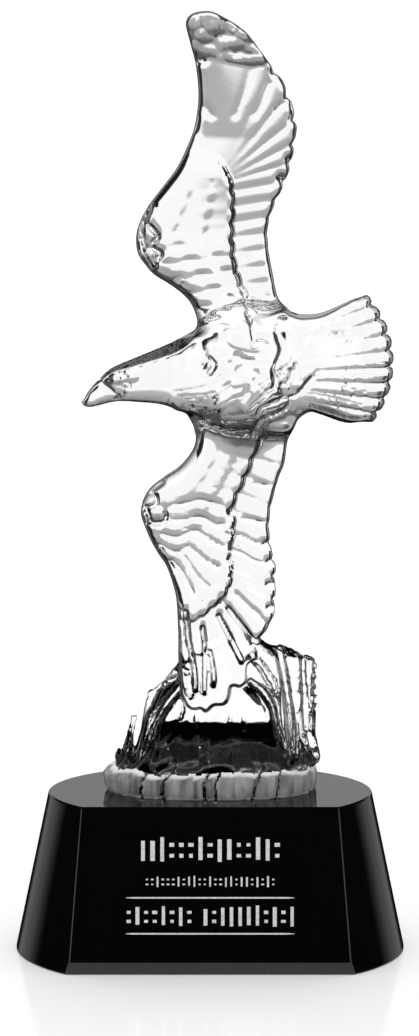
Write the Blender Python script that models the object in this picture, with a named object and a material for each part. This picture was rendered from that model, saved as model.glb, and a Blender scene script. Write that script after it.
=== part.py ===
"""Eagle trophy: a clear pressed-glass eagle with its rock, bonded to a black crystal plinth.

Run with: blender --background --python part.py
Metres, +Z up. The origin is the centre of the whole object's box, on the surface that it stands on.
The front face of the plinth looks along -Y, and the eagle's beak points along -X.
"""

import math

import bmesh
import bpy
import numpy as np

# Driving dimensions of the plinth, in metres.
PLINTH_HEIGHT = 0.0532
SIDE_MARGIN = 0.0182  # polished top left free beside the foot of the casting
FRONT_MARGIN = 0.0078  # and in front of it
BACK_MARGIN = 0.0132  # and behind it
FLAT_CUT = 0.623  # where the flat front cuts the oval, as a share of its half depth
TAPER = 0.0112  # how much further out the oval stands at the bottom than at the top
FRONT_LEAN = 0.0098  # how much further forward the flat front stands at the bottom
BAND_HEIGHT = 0.0042  # the upright band ground along the foot of the flat front
EDGE_CHAMFER = 0.0007  # the polished edges
OVAL_STEPS = 88

# Driving dimensions of the casting, in metres.
CAST_HEIGHT = 0.2535
FOOT_WIDTH = 0.0700
FOOT_DEPTH = 0.0350
BOND_GAP = 0.0003  # the layer of clear cement between the casting and the plinth

# The inscription: rows of shallow strokes, in metres.
STROKE_DEPTH = 0.0004
LINE_WIDTH = 0.0545
LINE_THICKNESS = 0.0005
# Each row: its name, how far down the face it lies, its height and width, the strokes in each of its
# words, and how thick a stroke is.
ROWS = (
    ("heading", 0.0142, 0.0080, 0.0460, (7,), 0.0026),
    ("subtitle", 0.0240, 0.0038, 0.0430, (10, 2, 5), 0.0007),
    ("name", 0.0353, 0.0066, 0.0540, (4, 6), 0.0022),
)
LINES = (0.0288, 0.0410)  # the two ruled lines, down the face

# The figure is drawn in units of its own height: one unit is CAST_HEIGHT / CAST_UNITS,
# which is a millimetre at the size above. X and Z are as in the world, from the foot's underside.
CAST_UNITS = 253.5
UNIT = CAST_HEIGHT / CAST_UNITS
VOXEL = 0.95  # the grid on which the figure's skin is found, in units
CAST_TRIANGLES = 8700
FILLED = -0.02  # the field at a grid point that is filled so that the skin nowhere touches itself

AXIS_Z = 138.5  # the height of the line from the beak to the tail

# The edges of the wings, from the body to the tip, as the mould's parting line has them.
UPPER_LEADING = (
    (2, 138), (-3.8, 154.5), (-4.9, 159.9), (-14.9, 168.3), (-20.6, 174), (-23.3, 179.8),
    (-22.5, 185.2), (-19.2, 191.1), (-9.7, 203.9), (-4.7, 216.1), (-3.3, 230.5), (-6.1, 244.1),
)
UPPER_TIP = ((-7.7, 249.3), (-6.8, 251.7), (-4.6, 253), (-1, 253.5), (2.2, 252))
UPPER_TRAILING = (
    (6.3, 249.9), (11.4, 246.3), (20.6, 235), (28, 214), (22.6, 197.4), (17.9, 186.8),
    (19.2, 172.1), (25, 150), (25, 138),
)
LOWER_LEADING = (
    (2, 138), (-3.6, 124), (-5.2, 113.6), (-7.8, 108.6), (-13.3, 103.4), (-18.5, 99.8), (-21.8, 95.4),
    (-22.4, 91), (-20.9, 86.5), (-15.3, 78.8), (-10.6, 69), (-10, 62.1), (-9, 31.3),
)
LOWER_TIP = ((-8, 27.2), (-5.2, 24.6), (-1.2, 23.6), (2, 24.8))
LOWER_TRAILING = (
    (6.4, 27.4), (13.2, 35.4), (18, 46), (21, 58), (20.8, 73), (18.4, 86.4), (20, 98.7),
    (22.9, 105.8), (25.7, 122.7), (25, 138),
)
# Where the small feathers that cover each wing end, from the body outwards and round to the edge.
UPPER_COVERTS = ((15.4, 138), (13.9, 149), (6.4, 174.7), (6.3, 196), (0.4, 206.5), (-14, 210))
LOWER_COVERTS = (
    (17.6, 138), (16.8, 122.7), (12.6, 110.4), (6.7, 97.1), (5.3, 93.2), (6.9, 89), (5.3, 79.6),
    (6, 75.1), (4.6, 68.3), (-2.7, 61.1), (-7.5, 59.3), (-16, 61),
)
# The tail: its upper and lower edges, and the pole from which its feathers spread.
TAIL_UPPER = ((10, 152), (22, 158), (27.3, 156.4), (33.7, 156.2), (48, 162.2))
TAIL_LOWER = ((48.8, 122.6), (44.3, 122.4), (32.8, 126.7), (28.7, 123.9), (24, 119), (10, 124))
TAIL_POLE = (-5.7, 138.5)
TAIL_REACH = 65.2
TAIL_FEATHERS = 9
TAIL_SPREAD = (-17.8, 24.5)  # degrees
TAIL_DROP = 4.4  # how far the outer feathers fall short of the middle ones
TAIL_EDGE = 1.6  # how round its edge is

# The body from the beak to the tail: x, height of its middle, half height, half depth.
BODY = (
    (-41.0, 128.6, 0.9, 0.8), (-39.6, 129.4, 1.9, 1.6), (-35.6, 131.8, 3.4, 3.0), (-30, 134.9, 5.4, 4.8),
    (-24, 136.4, 6.9, 6.4), (-12, 137.9, 9.8, 9.2), (1, 138.5, 14.0, 12.8), (9, 138.9, 15.4, 14.2),
    (17, 139.2, 15.6, 14.0), (25, 139.8, 14.2, 11.8), (33, 140.3, 12.2, 8.8), (48, 140.0, 7.5, 4.0),
)
# The head: each cut of the beak by its ends, width and depth; the brow; the eye and its socket.
BEAK_CUTS = (((-36.3, 136.5), (-30.2, 131.6), 0.9, 0.7), ((-30.2, 131.6), (-27.5, 132.4), 0.8, 0.5))
BROW = ((-30.5, 136.2), (-24, 137.6))
BROW_WIDTH = 1.6
BROW_RAISE = 0.55
EYE = (-27.0, 134.9, 4.9, 1.15)  # x, z, distance off the middle, radius
EYE_FILLET = 0.3
SOCKET_RADIUS = 1.9
SOCKET_FLAT = 1.0  # the flat bottom of the socket, by its radius
SOCKET_DEPTH = 0.5

# Each wing: its pole of spreading feathers, the slant of its arm feathers, and how it leans.
UPPER_WING = dict(
    leading=UPPER_LEADING, tip=UPPER_TIP, trailing=UPPER_TRAILING, coverts=UPPER_COVERTS, sign=1,
    pole=(1.0, 60.0), fan_start=10.0, arm_slant=(5.0, 9.0), lean=7.5, bow=2.5,
)
LOWER_WING = dict(
    leading=LOWER_LEADING, tip=LOWER_TIP, trailing=LOWER_TRAILING, coverts=LOWER_COVERTS, sign=-1,
    pole=(-9.5, 56.5), fan_start=24.0, arm_slant=(2.0, 22.0), lean=-9.2, bow=0.5,
)
LEAN_REACH = 125  # how far from the body a wing has all of its lean, in units
WING_ROOT_HALF = 6.4  # half thickness of a wing near the body, in units
WING_TIP_HALF = 4.3
TRAILING_HALF = 2.7
ARM_PITCH = 5.1  # width of a feather on the arm
FAN_PITCH = 11.5  # degrees from one spreading feather to the next
FEATHER_ROUND = 1.25  # how far each feather swells above the groove beside it
FEATHER_STEP = 1.6  # the step at the end of each row of feathers
ROW_ENDS = (0.36, 0.68, 1.0)  # where the rows of small feathers end, on the way to the last row's edge
NOTCH = 1.7  # how deep the outline is cut between feathers

SCALE_PITCH = 6.2  # the body's small feathers, along it
SCALE_WIDTH = 7.4  # and round it
SCALE_STEP = 1.5

# The rock, from its foot up: height, left edge, right edge, as shares of the foot's half width,
# and its half depth as a share of the foot's.
ROCK = (
    (0.0, -0.975, 0.975, 0.985), (1.2, -1.0, 1.0, 1.0), (5.5, -0.985, 0.985, 0.985),
    (8.0, -0.93, 0.97, 0.86), (13.0, -0.86, 0.965, 0.69), (19.0, -0.79, 0.93, 0.57),
    (26.0, -0.69, 0.91, 0.49), (32.0, -0.58, 0.93, 0.45), (38.0, -0.42, 0.93, 0.42),
    (43.0, -0.28, 0.91, 0.38), (46.5, -0.06, 0.76, 0.33), (50.0, 0.12, 0.54, 0.24),
)
ROCK_X = 1.3  # the middle of the foot, in units
ROCK_FACETS = 34
ROCK_SEED = 11
ROCK_BREAK = 0.1  # how far the ridges between the facets stand out, as a share of the width
RIM_HEIGHT = 5.5  # the plain rim below the broken facets

# How wide the fillets are where the tail, the wings and the rock run into the bird, in units.
TAIL_FILLET = 3.0
WING_FILLET = 5.0
ROCK_FILLET = 0.8


def smooth_line(points, steps=7):
    """Points along a Catmull-Rom curve through the given ones."""
    p = np.array(points, float)
    p = np.vstack([2 * p[0] - p[1], p, 2 * p[-1] - p[-2]])
    t = np.linspace(0, 1, steps, endpoint=False)[:, None]
    pieces = []
    for a, b, c, d in zip(p[:-3], p[1:-2], p[2:-1], p[3:]):
        pieces.append(
            0.5 * (2 * b + (c - a) * t + (2 * a - 5 * b + 4 * c - d) * t**2 + (3 * b - a - 3 * c + d) * t**3)
        )
    return np.vstack([*pieces, p[-2:-1]])


def distance_to(line, x, z):
    """The distance of each point (x, z) from a line of points."""
    nearest = np.full(np.shape(x), np.inf)
    for (ax, az), (bx, bz) in zip(line[:-1], line[1:]):
        dx, dz = bx - ax, bz - az
        along = ((x - ax) * dx + (z - az) * dz) / (dx * dx + dz * dz)
        along = np.clip(along, 0, 1)
        nearest = np.minimum(nearest, (x - ax - along * dx) ** 2 + (z - az - along * dz) ** 2)
    return np.sqrt(nearest)


def inside(outline, x, z):
    """True where (x, z) lies within the closed outline."""
    odd = np.zeros(np.shape(x), bool)
    for (ax, az), (bx, bz) in zip(outline, np.roll(outline, -1, axis=0)):
        if az == bz:
            continue
        crosses = ((az > z) != (bz > z)) & (x < (bx - ax) * (z - az) / (bz - az) + ax)
        odd ^= crosses
    return odd


def depth_inside(outline, x, z):
    """How deep (x, z) lies within the outline, and less than nothing outside it."""
    edge = distance_to(np.vstack([outline, outline[:1]]), x, z)
    return np.where(inside(outline, x, z), edge, -edge)


def blend(a, b, width):
    """The union of two fields with a fillet about as wide as width."""
    share = np.clip(0.5 + 0.5 * (b - a) / width, 0, 1)
    return b + (a - b) * share - width * share * (1 - share)


def ramp(value, low, high):
    """0 below low, 1 above high and smooth between."""
    t = np.clip((value - low) / (high - low), 0, 1)
    return t * t * (3 - 2 * t)


def slab(depth, off_middle, half, radius):
    """The field of a plate: depth inside its outline, distance off its middle, its half thickness."""
    a = off_middle - (half - radius)
    b = radius - depth
    corner = np.hypot(np.maximum(a, 0), np.maximum(b, 0))
    return corner + np.minimum(np.maximum(a, b), 0) - radius


def row_step(past_end, length, height, soft=0.9):
    """A row of feathers as seen from the side: it rises towards its end and drops there."""
    return height * np.minimum(1 + past_end / length, 1 - past_end / soft)


def feather_index(wing, x, q):
    """Which flight feather (x, q) lies on, counted along the wing, with q the distance from the body."""
    px, pq = wing["pole"]
    start = wing["fan_start"]
    angle = np.degrees(np.arctan2(q - pq, x - px))
    fan = (angle - start) / FAN_PITCH
    near, far = np.tan(np.radians(wing["arm_slant"]))
    slant = near + (far - near) * ramp(q, 5, pq)
    base = pq + (x - px) * math.tan(math.radians(start))
    arm = (q - (x - px) * (slant - math.tan(math.radians(start))) - base) / ARM_PITCH
    return np.where(angle > start, fan, arm)


def wing_map(wing, x, z):
    """The outline depth, half thickness and middle of a wing over the plane of the mould."""
    leading = smooth_line(wing["leading"])
    tip = smooth_line((wing["leading"][-1], *wing["tip"], wing["trailing"][0]), 4)
    trailing = smooth_line(wing["trailing"])
    outline = np.vstack([leading, tip[1:-1], trailing])
    depth = depth_inside(outline, x, z)
    front = distance_to(np.vstack([leading, tip[1 : len(tip) // 2]]), x, z)
    rear = distance_to(trailing, x, z)
    chord = front + rear
    across = front / chord
    q = (z - AXIS_Z) * wing["sign"]
    index = feather_index(wing, x, q)
    share = index - np.round(index)  # from -0.5 to 0.5 across a feather
    valley = (2 * np.abs(share)) ** 3

    depth = depth - NOTCH * valley * ramp(across, 0.5, 0.8) * ramp(q, 30, 75)

    lengthwise = np.clip(q / 110, 0, 1)
    thick = WING_ROOT_HALF + (WING_TIP_HALF - WING_ROOT_HALF) * lengthwise
    half = TRAILING_HALF + (thick - TRAILING_HALF) * (1 - ramp(across, 0.15, 1.0))

    line = smooth_line(wing["coverts"], 4)
    away = 60 * np.array([(-1, 0)])
    past_all = distance_to(line, x, z)
    past_all = np.where(inside(np.vstack([line, line[-1] + away, line[0] + away]), x, z), -past_all, past_all)
    reach = front + np.abs(past_all)
    rows = []
    for n, end in enumerate(ROW_ENDS):
        stagger = index + 0.5 * (n % 2)
        tongue = 1 - (2 * np.abs(stagger - np.round(stagger))) ** 2
        past = past_all + (1 - end) * reach - 1.1 * (tongue - 0.5)
        rows.append(row_step(past, 0.4 * reach + 2.0, FEATHER_STEP) + 0.4 * tongue)
    rows = np.maximum(np.maximum.reduce(rows), 0)
    px, pq = wing["pole"]
    clear_of_pole = np.maximum(ramp(np.hypot(x - px, q - pq), 7, 18), ramp(-past_all, -1, 2))
    relief = FEATHER_ROUND * (1 - valley) * (0.3 + 0.7 * ramp(across, 0.1, 0.5)) * clear_of_pole
    fade = ramp(depth, 0.0, 3.5) * (0.35 + 0.65 * ramp(q, 6, 26))
    middle = wing["lean"] * ramp(q, 0, LEAN_REACH) + wing["bow"] * lengthwise**3
    return depth, half + (relief + rows - 0.6) * fade, half, middle


def tail_map(x, z):
    """The same four for the tail, whose middle is the plane of the mould."""
    px, pz = TAIL_POLE
    angle = np.degrees(np.arctan2(z - pz, x - px))
    low, high = TAIL_SPREAD
    index = (angle - low) / (high - low) * TAIL_FEATHERS
    share = index - np.floor(index) - 0.5
    valley = (2 * np.abs(share)) ** 3
    middle_angle = 0.5 * (low + high)
    ends = np.radians(np.linspace(high - 1.5, low + 1.5, 25))
    fall = TAIL_DROP * ((np.degrees(ends) - middle_angle) / (0.5 * (high - low))) ** 2
    arc = np.stack([px + (TAIL_REACH - fall) * np.cos(ends), pz + (TAIL_REACH - fall) * np.sin(ends)], 1)
    outline = np.vstack([smooth_line(TAIL_UPPER), arc, smooth_line(TAIL_LOWER)])
    depth = depth_inside(outline, x, z)
    reach = np.hypot(x - px, z - pz)
    depth = depth - 1.5 * valley * ramp(reach, TAIL_REACH - 12, TAIL_REACH - 3)
    half = 3.2 + 3.0 * (1 - ramp(reach, 34, 62))
    saw = 0.8 * (1 - valley) + 0.9 * share * np.sign(middle_angle - angle)
    relief = FEATHER_ROUND * saw * ramp(reach, 30, 40)
    return depth, half + relief * ramp(depth, 0.0, 2.5), half, np.zeros(np.shape(x))


def body_field(x, y, z):
    """The field of the head, body and root of the tail, with rows of small feathers."""
    stations = smooth_line(BODY, 6)
    middle = np.interp(x, stations[:, 0], stations[:, 1])
    tall = np.interp(x, stations[:, 0], stations[:, 2])
    deep = np.interp(x, stations[:, 0], stations[:, 3])
    beyond = np.maximum(stations[0, 0] - x, 0) + np.maximum(x - stations[-1, 0], 0)
    ring = np.hypot((z - middle) / tall, y / deep)
    field = (ring - 1) * np.minimum(tall, deep)
    field = np.hypot(np.maximum(field, 0), beyond) + np.minimum(field, 0)

    around = np.arctan2(z - middle, np.abs(y) * tall / deep) * 0.5 * (tall + deep)
    along = x + 14 + 0.018 * (z - middle) ** 2
    rows = []
    first = np.floor(along / SCALE_PITCH)
    for back in (0, 1):
        row = first - 1 + back
        offset = around / SCALE_WIDTH + 0.5 * np.mod(row, 2)
        tongue = 1 - (2 * np.abs(offset - np.round(offset))) ** 2
        past = along - (row + 0.45 + 1.0 * tongue) * SCALE_PITCH
        rows.append(row_step(past, 1.3 * SCALE_PITCH, SCALE_STEP, 0.8) + 0.35 * tongue)
    scales = np.maximum(np.maximum(rows[0], rows[1]), 0)
    return field - (scales - 0.4) * ramp(x, -13, -4) * (1 - ramp(x, 30, 40))


def head_carving(field, x, y, z):
    """The beak's edge, the gape, the brow and the eye, on both sides of the head."""
    carved = field
    for start, end, width, depth in BEAK_CUTS:
        line = distance_to(np.array([start, end], float), x, z)
        carved = carved + depth * np.clip(1 - line / width, 0, 1)
    carved = carved - BROW_RAISE * ramp(-distance_to(np.array(BROW, float), x, z), -BROW_WIDTH, 0)
    eye_x, eye_z, off_middle, radius = EYE
    from_eye = np.hypot(x - eye_x, z - eye_z)
    carved = carved + SOCKET_DEPTH * ramp(-from_eye, -SOCKET_RADIUS, -SOCKET_FLAT)
    ball = np.hypot(from_eye, np.abs(y) - off_middle) - radius
    return blend(carved, ball, EYE_FILLET)


def rock_field(x, y, z):
    """The field of the broken rock below the lower wing."""
    wide, deep = 0.5 * FOOT_WIDTH / UNIT, 0.5 * FOOT_DEPTH / UNIT
    table = np.array(ROCK)
    left = ROCK_X + wide * np.interp(z, table[:, 0], table[:, 1])
    right = ROCK_X + wide * np.interp(z, table[:, 0], table[:, 2])
    half_depth = deep * np.interp(z, table[:, 0], table[:, 3])
    centre, half_width = 0.5 * (left + right), 0.5 * (right - left)
    u, v = (x - centre) / half_width, y / half_depth
    ring = (np.abs(u) ** 2.4 + np.abs(v) ** 2.4) ** (1 / 2.4)

    random = np.random.default_rng(ROCK_SEED)
    turn = np.arctan2(v, u)
    chips = np.full(np.shape(ring), ROCK_BREAK)
    for n in range(ROCK_FACETS):
        middle = 4 * math.pi * (n + random.uniform(-0.35, 0.35)) / ROCK_FACETS
        height = random.uniform(8, 44)
        tilt, slope, out = random.uniform(-0.25, 0.25), random.uniform(-0.004, 0.004), random.uniform(0, 0.06)
        away = np.mod(turn - middle + 0.008 * (z - height) * np.cos(middle) + math.pi, 2 * math.pi) - math.pi
        face = out + 2.0 * away**2 + tilt * away + slope * (z - height) + 0.00022 * (z - height) ** 2
        chips = np.minimum(chips, face)
    rough = ramp(z, RIM_HEIGHT - 0.5, RIM_HEIGHT + 3.5)
    ring = ring + 1.4 * rough * (0.045 - chips)
    field = (ring - 1) * np.minimum(half_width, half_depth)
    return np.maximum.reduce([field, -z, z - table[-1, 0]])


def cast_field(x, y, z):
    """The whole casting: negative inside. x and z are grids of the mould's plane, y its depth."""
    flat_x, flat_z = x[:, :, 0], z[:, :, 0]
    wings = []
    for wing in (UPPER_WING, LOWER_WING):
        depth, half, plain, middle = (m[:, :, None] for m in wing_map(wing, flat_x, flat_z))
        off = np.abs(y - middle)
        wings.append(slab(depth, off, half, np.minimum(0.9 * plain, half)))
    depth, half, _, middle = (m[:, :, None] for m in tail_map(flat_x, flat_z))
    tail = slab(depth, np.abs(y - middle), half, np.minimum(TAIL_EDGE, half))
    body = head_carving(body_field(x, y, z), x, y, z)
    bird = blend(body, tail, TAIL_FILLET)
    for wing in wings:
        bird = blend(bird, wing, WING_FILLET)
    return blend(bird, rock_field(x, y, z), ROCK_FILLET)


def pinched_codes():
    """Which of the 256 patterns of solid corners in a cell would make the skin touch itself."""
    pinched = np.zeros(256, bool)
    for code in range(256):
        for wanted in (0, 1):
            corners = [n for n in range(8) if (code >> n & 1) == wanted]
            reached = set(corners[:1])
            for _ in range(8):
                reached |= {c for c in corners for r in reached if (c ^ r) in (1, 2, 4)}
            pinched[code] |= len(reached) < len(corners)
    return pinched


def cell_codes(field):
    """The pattern of solid corners of each cell of the grid."""
    solid = (field < 0).astype(np.int16)
    nx, ny, nz = np.array(field.shape) - 1
    code = np.zeros((nx, ny, nz), np.int16)
    for n in range(8):
        i, j, k = n & 1, n >> 1 & 1, n >> 2 & 1
        code += solid[i : i + nx, j : j + ny, k : k + nz] << n
    return code


def fill_pinches(field):
    """Fills the nearest corner of each cell in which the skin would touch itself, until there are none."""
    pinched = pinched_codes()
    corners = np.array([(n & 1, n >> 1 & 1, n >> 2 & 1) for n in range(8)])
    cells = np.argwhere(pinched[cell_codes(field)])
    while len(cells):
        around = cells[:, None, :] + corners[None]
        values = field[tuple(np.moveaxis(around, 2, 0))]
        nearest = np.argmin(np.where(values < 0, np.inf, values), axis=1)
        field[tuple(around[np.arange(len(cells)), nearest].T)] = FILLED
        cells = np.argwhere(pinched[cell_codes(field)])
    return field


def soften(field):
    """The field with each point averaged with its neighbours, so that no detail is finer than the grid."""
    for axis in range(3):
        before = np.roll(field, 1, axis)
        after = np.roll(field, -1, axis)
        field = 0.25 * before + 0.5 * field + 0.25 * after
    return field


def skin(field, origin, step):
    """The surface where the field crosses zero, as points and quads, one point in each crossed cell."""
    code = cell_codes(field)
    crossed = (code > 0) & (code < 255)
    number = np.full(crossed.shape, -1, np.int64)
    number[crossed] = np.arange(crossed.sum())
    total = np.zeros((int(crossed.sum()), 3))
    hits = np.zeros(len(total))
    quads = []
    for axis in range(3):
        near = np.take(field, range(field.shape[axis] - 1), axis)
        far = np.take(field, range(1, field.shape[axis]), axis)
        flips = (near < 0) != (far < 0)
        where = np.argwhere(flips)
        low, high = near[flips], far[flips]
        point = where.astype(float)
        point[:, axis] += low / (low - high)
        u, v = [a for a in range(3) if a != axis]
        around = []
        for du, dv in ((-1, -1), (0, -1), (0, 0), (-1, 0)):
            cell = where.copy()
            cell[:, u] += du
            cell[:, v] += dv
            ids = number[tuple(cell.T)]
            np.add.at(total, ids, point)
            np.add.at(hits, ids, 1)
            around.append(ids)
        quad = np.stack(around, 1)
        turned = (low < 0) != (axis == 1)
        quad[~turned] = quad[~turned][:, ::-1]
        quads.append(quad)
    return origin + step * total / hits[:, None], np.vstack(quads)


def cast_skin(voxel):
    """The casting's surface on a grid of this size, in units."""
    low = np.array((-44.0, -24.0, -1.5 * voxel))
    high = np.array((62.0, 24.0, 256.0))
    axes = [np.arange(a, b, voxel) for a, b in zip(low, high)]
    x, z, y = np.meshgrid(axes[0], axes[2], axes[1], indexing="ij")
    field = np.maximum(soften(cast_field(x, y, z)), -z)
    field = fill_pinches(field)
    points, quads = skin(field, np.array((axes[0][0], axes[2][0], axes[1][0])), voxel)
    return points[:, [0, 2, 1]], quads[:, ::-1]


def material(name, colour, roughness, metallic=0.0, clear=0.0):
    """A plain Principled material for one piece."""
    made = bpy.data.materials.new(name)
    made.use_nodes = True
    shader = made.node_tree.nodes["Principled BSDF"]
    shader.inputs["Base Color"].default_value = (*colour, 1)
    shader.inputs["Roughness"].default_value = roughness
    shader.inputs["Metallic"].default_value = metallic
    shader.inputs["Transmission Weight"].default_value = clear
    return made


def add_object(name, mesh, finish):
    """The mesh as a named object with its material."""
    mesh.materials.append(finish)
    made = bpy.data.objects.new(name, mesh)
    bpy.context.scene.collection.objects.link(made)
    return made


def plinth_sizes():
    """The plinth's oval and flat front, worked out from the foot of the casting."""
    half_width = 0.5 * FOOT_WIDTH + SIDE_MARGIN
    top_depth = FRONT_MARGIN + FOOT_DEPTH + BACK_MARGIN
    half_depth = top_depth / (1 + FLAT_CUT)
    flat = FLAT_CUT * half_depth
    centre = 0.5 * ((flat + FRONT_LEAN) - (half_depth + TAPER))
    return half_width, half_depth, flat, centre


def cut_by_plane(shape, point, normal):
    """Cuts away what lies on the side of the plane that its normal points to, and closes the cut."""
    geometry = shape.verts[:] + shape.edges[:] + shape.faces[:]
    cut = bmesh.ops.bisect_plane(
        shape, geom=geometry, dist=1e-7, plane_co=point, plane_no=normal, clear_outer=True
    )
    edges = [e for e in cut["geom_cut"] if isinstance(e, bmesh.types.BMEdge)]
    bmesh.ops.edgeloop_fill(shape, edges=edges)


def plinth_mesh():
    """A tapered oval block with a flat leaning front and an upright band at its foot."""
    half_width, half_depth, flat, centre = plinth_sizes()
    shape = bmesh.new()
    rings = []
    for height, grow in ((0.0, TAPER), (PLINTH_HEIGHT, 0.0)):
        turns = [2 * math.pi * n / OVAL_STEPS for n in range(OVAL_STEPS)]
        rings.append([
            shape.verts.new((
                (half_width + grow) * math.cos(t), centre + (half_depth + grow) * math.sin(t), height
            ))
            for t in turns
        ])
    shape.faces.new(rings[0][::-1])
    shape.faces.new(rings[1])
    for n in range(OVAL_STEPS):
        m = (n + 1) % OVAL_STEPS
        shape.faces.new((rings[0][n], rings[0][m], rings[1][m], rings[1][n]))
    band_front = centre - flat - FRONT_LEAN
    lean = math.atan2(FRONT_LEAN, PLINTH_HEIGHT - BAND_HEIGHT)
    cut_by_plane(shape, (0, band_front, BAND_HEIGHT), (0, -math.cos(lean), math.sin(lean)))
    cut_by_plane(shape, (0, band_front, 0), (0, -1, 0))
    bmesh.ops.recalc_face_normals(shape, faces=shape.faces)
    mesh = bpy.data.meshes.new("plinth")
    shape.to_mesh(mesh)
    shape.free()
    return mesh


def stroke_boxes():
    """Each stroke and line of the inscription: its middle across, its middle down, width and height."""
    boxes = [("line", 0.0, down, LINE_WIDTH, LINE_THICKNESS) for down in LINES]
    for name, down, tall, wide, words, thick in ROWS:
        gaps = sum(words) - len(words) + 2.2 * (len(words) - 1)
        pitch = (wide - thick) / gaps
        x = -0.5 * (wide - thick)
        for word in words:
            for n in range(word):
                share = 1.0 if (n * 7 + word) % 3 else 0.72
                boxes.append((name, x, down + 0.5 * tall * (1 - share), thick, tall * share))
                x += pitch if n < word - 1 else 0
            x += 2.2 * pitch
    return boxes


def engraving_mesh(face_top, lean):
    """The cutter for the inscription: one box for each stroke, laid on the leaning face."""
    shape = bmesh.new()
    down_dir = (0.0, -math.sin(lean), -math.cos(lean))
    in_dir = (0.0, math.cos(lean), -math.sin(lean))
    for _, across, down, wide, tall in stroke_boxes():
        made = bmesh.ops.create_cube(shape, size=1.0)["verts"]
        for v in made:
            a, b, c = v.co
            along = down + b * tall
            into = 2 * c * STROKE_DEPTH
            v.co = (
                across + a * wide,
                face_top[1] + along * down_dir[1] + into * in_dir[1],
                face_top[2] + along * down_dir[2] + into * in_dir[2],
            )
    bmesh.ops.recalc_face_normals(shape, faces=shape.faces)
    mesh = bpy.data.meshes.new("engraving")
    shape.to_mesh(mesh)
    shape.free()
    return mesh


def make_plinth():
    """The black crystal plinth with its polished edges and its shallow inscription."""
    plinth = add_object("plinth", plinth_mesh(), material("black crystal", (0.004, 0.004, 0.005), 0.03))
    edges = plinth.modifiers.new("polished edges", "BEVEL")
    edges.width = EDGE_CHAMFER
    edges.limit_method = "ANGLE"
    edges.angle_limit = math.radians(25)
    _, _, flat, centre = plinth_sizes()
    lean = math.atan2(FRONT_LEAN, PLINTH_HEIGHT - BAND_HEIGHT)
    cutter = add_object(
        "engraving", engraving_mesh((0, centre - flat, PLINTH_HEIGHT), lean), material("cut", (1, 1, 1), 0.5)
    )
    cutter.hide_render = True
    cutter.display_type = "WIRE"
    cut = plinth.modifiers.new("inscription", "BOOLEAN")
    cut.object = cutter
    cut.operation = "DIFFERENCE"
    cut.solver = "EXACT"
    return plinth


def make_eagle():
    """The clear casting: eagle and rock in one, standing on the plinth's top."""
    points, quads = cast_skin(VOXEL)
    mesh = bpy.data.meshes.new("eagle")
    mesh.from_pydata((points * UNIT).tolist(), [], quads.tolist())
    mesh.shade_smooth()
    eagle = add_object("eagle", mesh, material("clear crystal", (1, 1, 1), 0.0, clear=1.0))
    _, _, flat, centre = plinth_sizes()
    front_of_foot = centre - flat + FRONT_MARGIN
    eagle.location = (0, front_of_foot + 0.5 * FOOT_DEPTH, PLINTH_HEIGHT + BOND_GAP)
    thin = eagle.modifiers.new("fewer faces", "DECIMATE")
    thin.ratio = min(1.0, CAST_TRIANGLES / (2 * len(quads)))
    thin.use_collapse_triangulate = True
    return eagle


def main():
    for old in list(bpy.data.objects):
        bpy.data.objects.remove(old)
    make_plinth()
    make_eagle()


main()
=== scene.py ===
# %% [markdown]
# # Eagle trophy in clear and black crystal
# The object is two pieces of glass. A clear eagle and its rock were pressed in one mould, in one pour,
# and the casting was cemented to a plinth cut from black crystal. This notebook loads the imported model
# as a fixed frame, makes both pieces again with finer relief, gives them their glass, and lights them.
# Clear glass has no colour of its own to paint, so most of its look is made by the shape of its
# surface and by what lies around it: a bright table below, a bright wall behind, and dark elsewhere.
# Its dark edges are painted shade as well: its tint is painted down to black where it turns away.

# %% Load the imported model
import math

import bmesh
import bpy
import numpy as np
from mathutils import Matrix, Vector


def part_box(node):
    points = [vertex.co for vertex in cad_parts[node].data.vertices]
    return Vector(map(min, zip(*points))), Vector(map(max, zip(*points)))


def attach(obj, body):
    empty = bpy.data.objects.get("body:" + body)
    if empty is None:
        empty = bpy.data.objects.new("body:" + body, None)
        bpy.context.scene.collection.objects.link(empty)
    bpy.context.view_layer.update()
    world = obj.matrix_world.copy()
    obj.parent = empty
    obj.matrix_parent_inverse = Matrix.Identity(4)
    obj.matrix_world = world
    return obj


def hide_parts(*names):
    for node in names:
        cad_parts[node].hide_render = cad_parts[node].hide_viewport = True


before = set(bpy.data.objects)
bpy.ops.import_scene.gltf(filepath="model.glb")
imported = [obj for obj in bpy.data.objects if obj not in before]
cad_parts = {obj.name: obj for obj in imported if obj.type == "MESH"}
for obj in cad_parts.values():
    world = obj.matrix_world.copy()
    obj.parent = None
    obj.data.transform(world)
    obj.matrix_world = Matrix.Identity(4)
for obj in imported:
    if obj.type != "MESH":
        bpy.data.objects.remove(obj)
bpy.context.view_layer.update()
cast_low, cast_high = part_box("eagle")
plinth_low, plinth_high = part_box("plinth")

PLINTH_HEIGHT = plinth_high.z
TOP_HALF_WIDTH, TOP_HALF_DEPTH = 0.0532, 0.0345
FLAT_AT_TOP = 0.0215  # from the oval's centre to the flat front, at the top
TAPER = 0.0112  # how much further out the oval stands at the bottom
FRONT_LEAN = 0.0098
BAND_HEIGHT = 0.0042
OVAL_Y = plinth_high.y - TOP_HALF_DEPTH - TAPER
LEAN = math.atan2(FRONT_LEAN, PLINTH_HEIGHT - BAND_HEIGHT)
print("casting", [round(1000 * v, 1) for v in cast_high - cast_low], "mm")
print("plinth", [round(1000 * v, 1) for v in plinth_high - plinth_low], "mm")

# %% [markdown]
# ## The camera
# The picture was taken with a long lens from a little above the top of the plinth. A long lens keeps
# upright edges nearly parallel. The distance and the height were found by fitting the plinth's top and
# bottom ovals, whose roundness in the picture gives the height of the eye.

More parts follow.
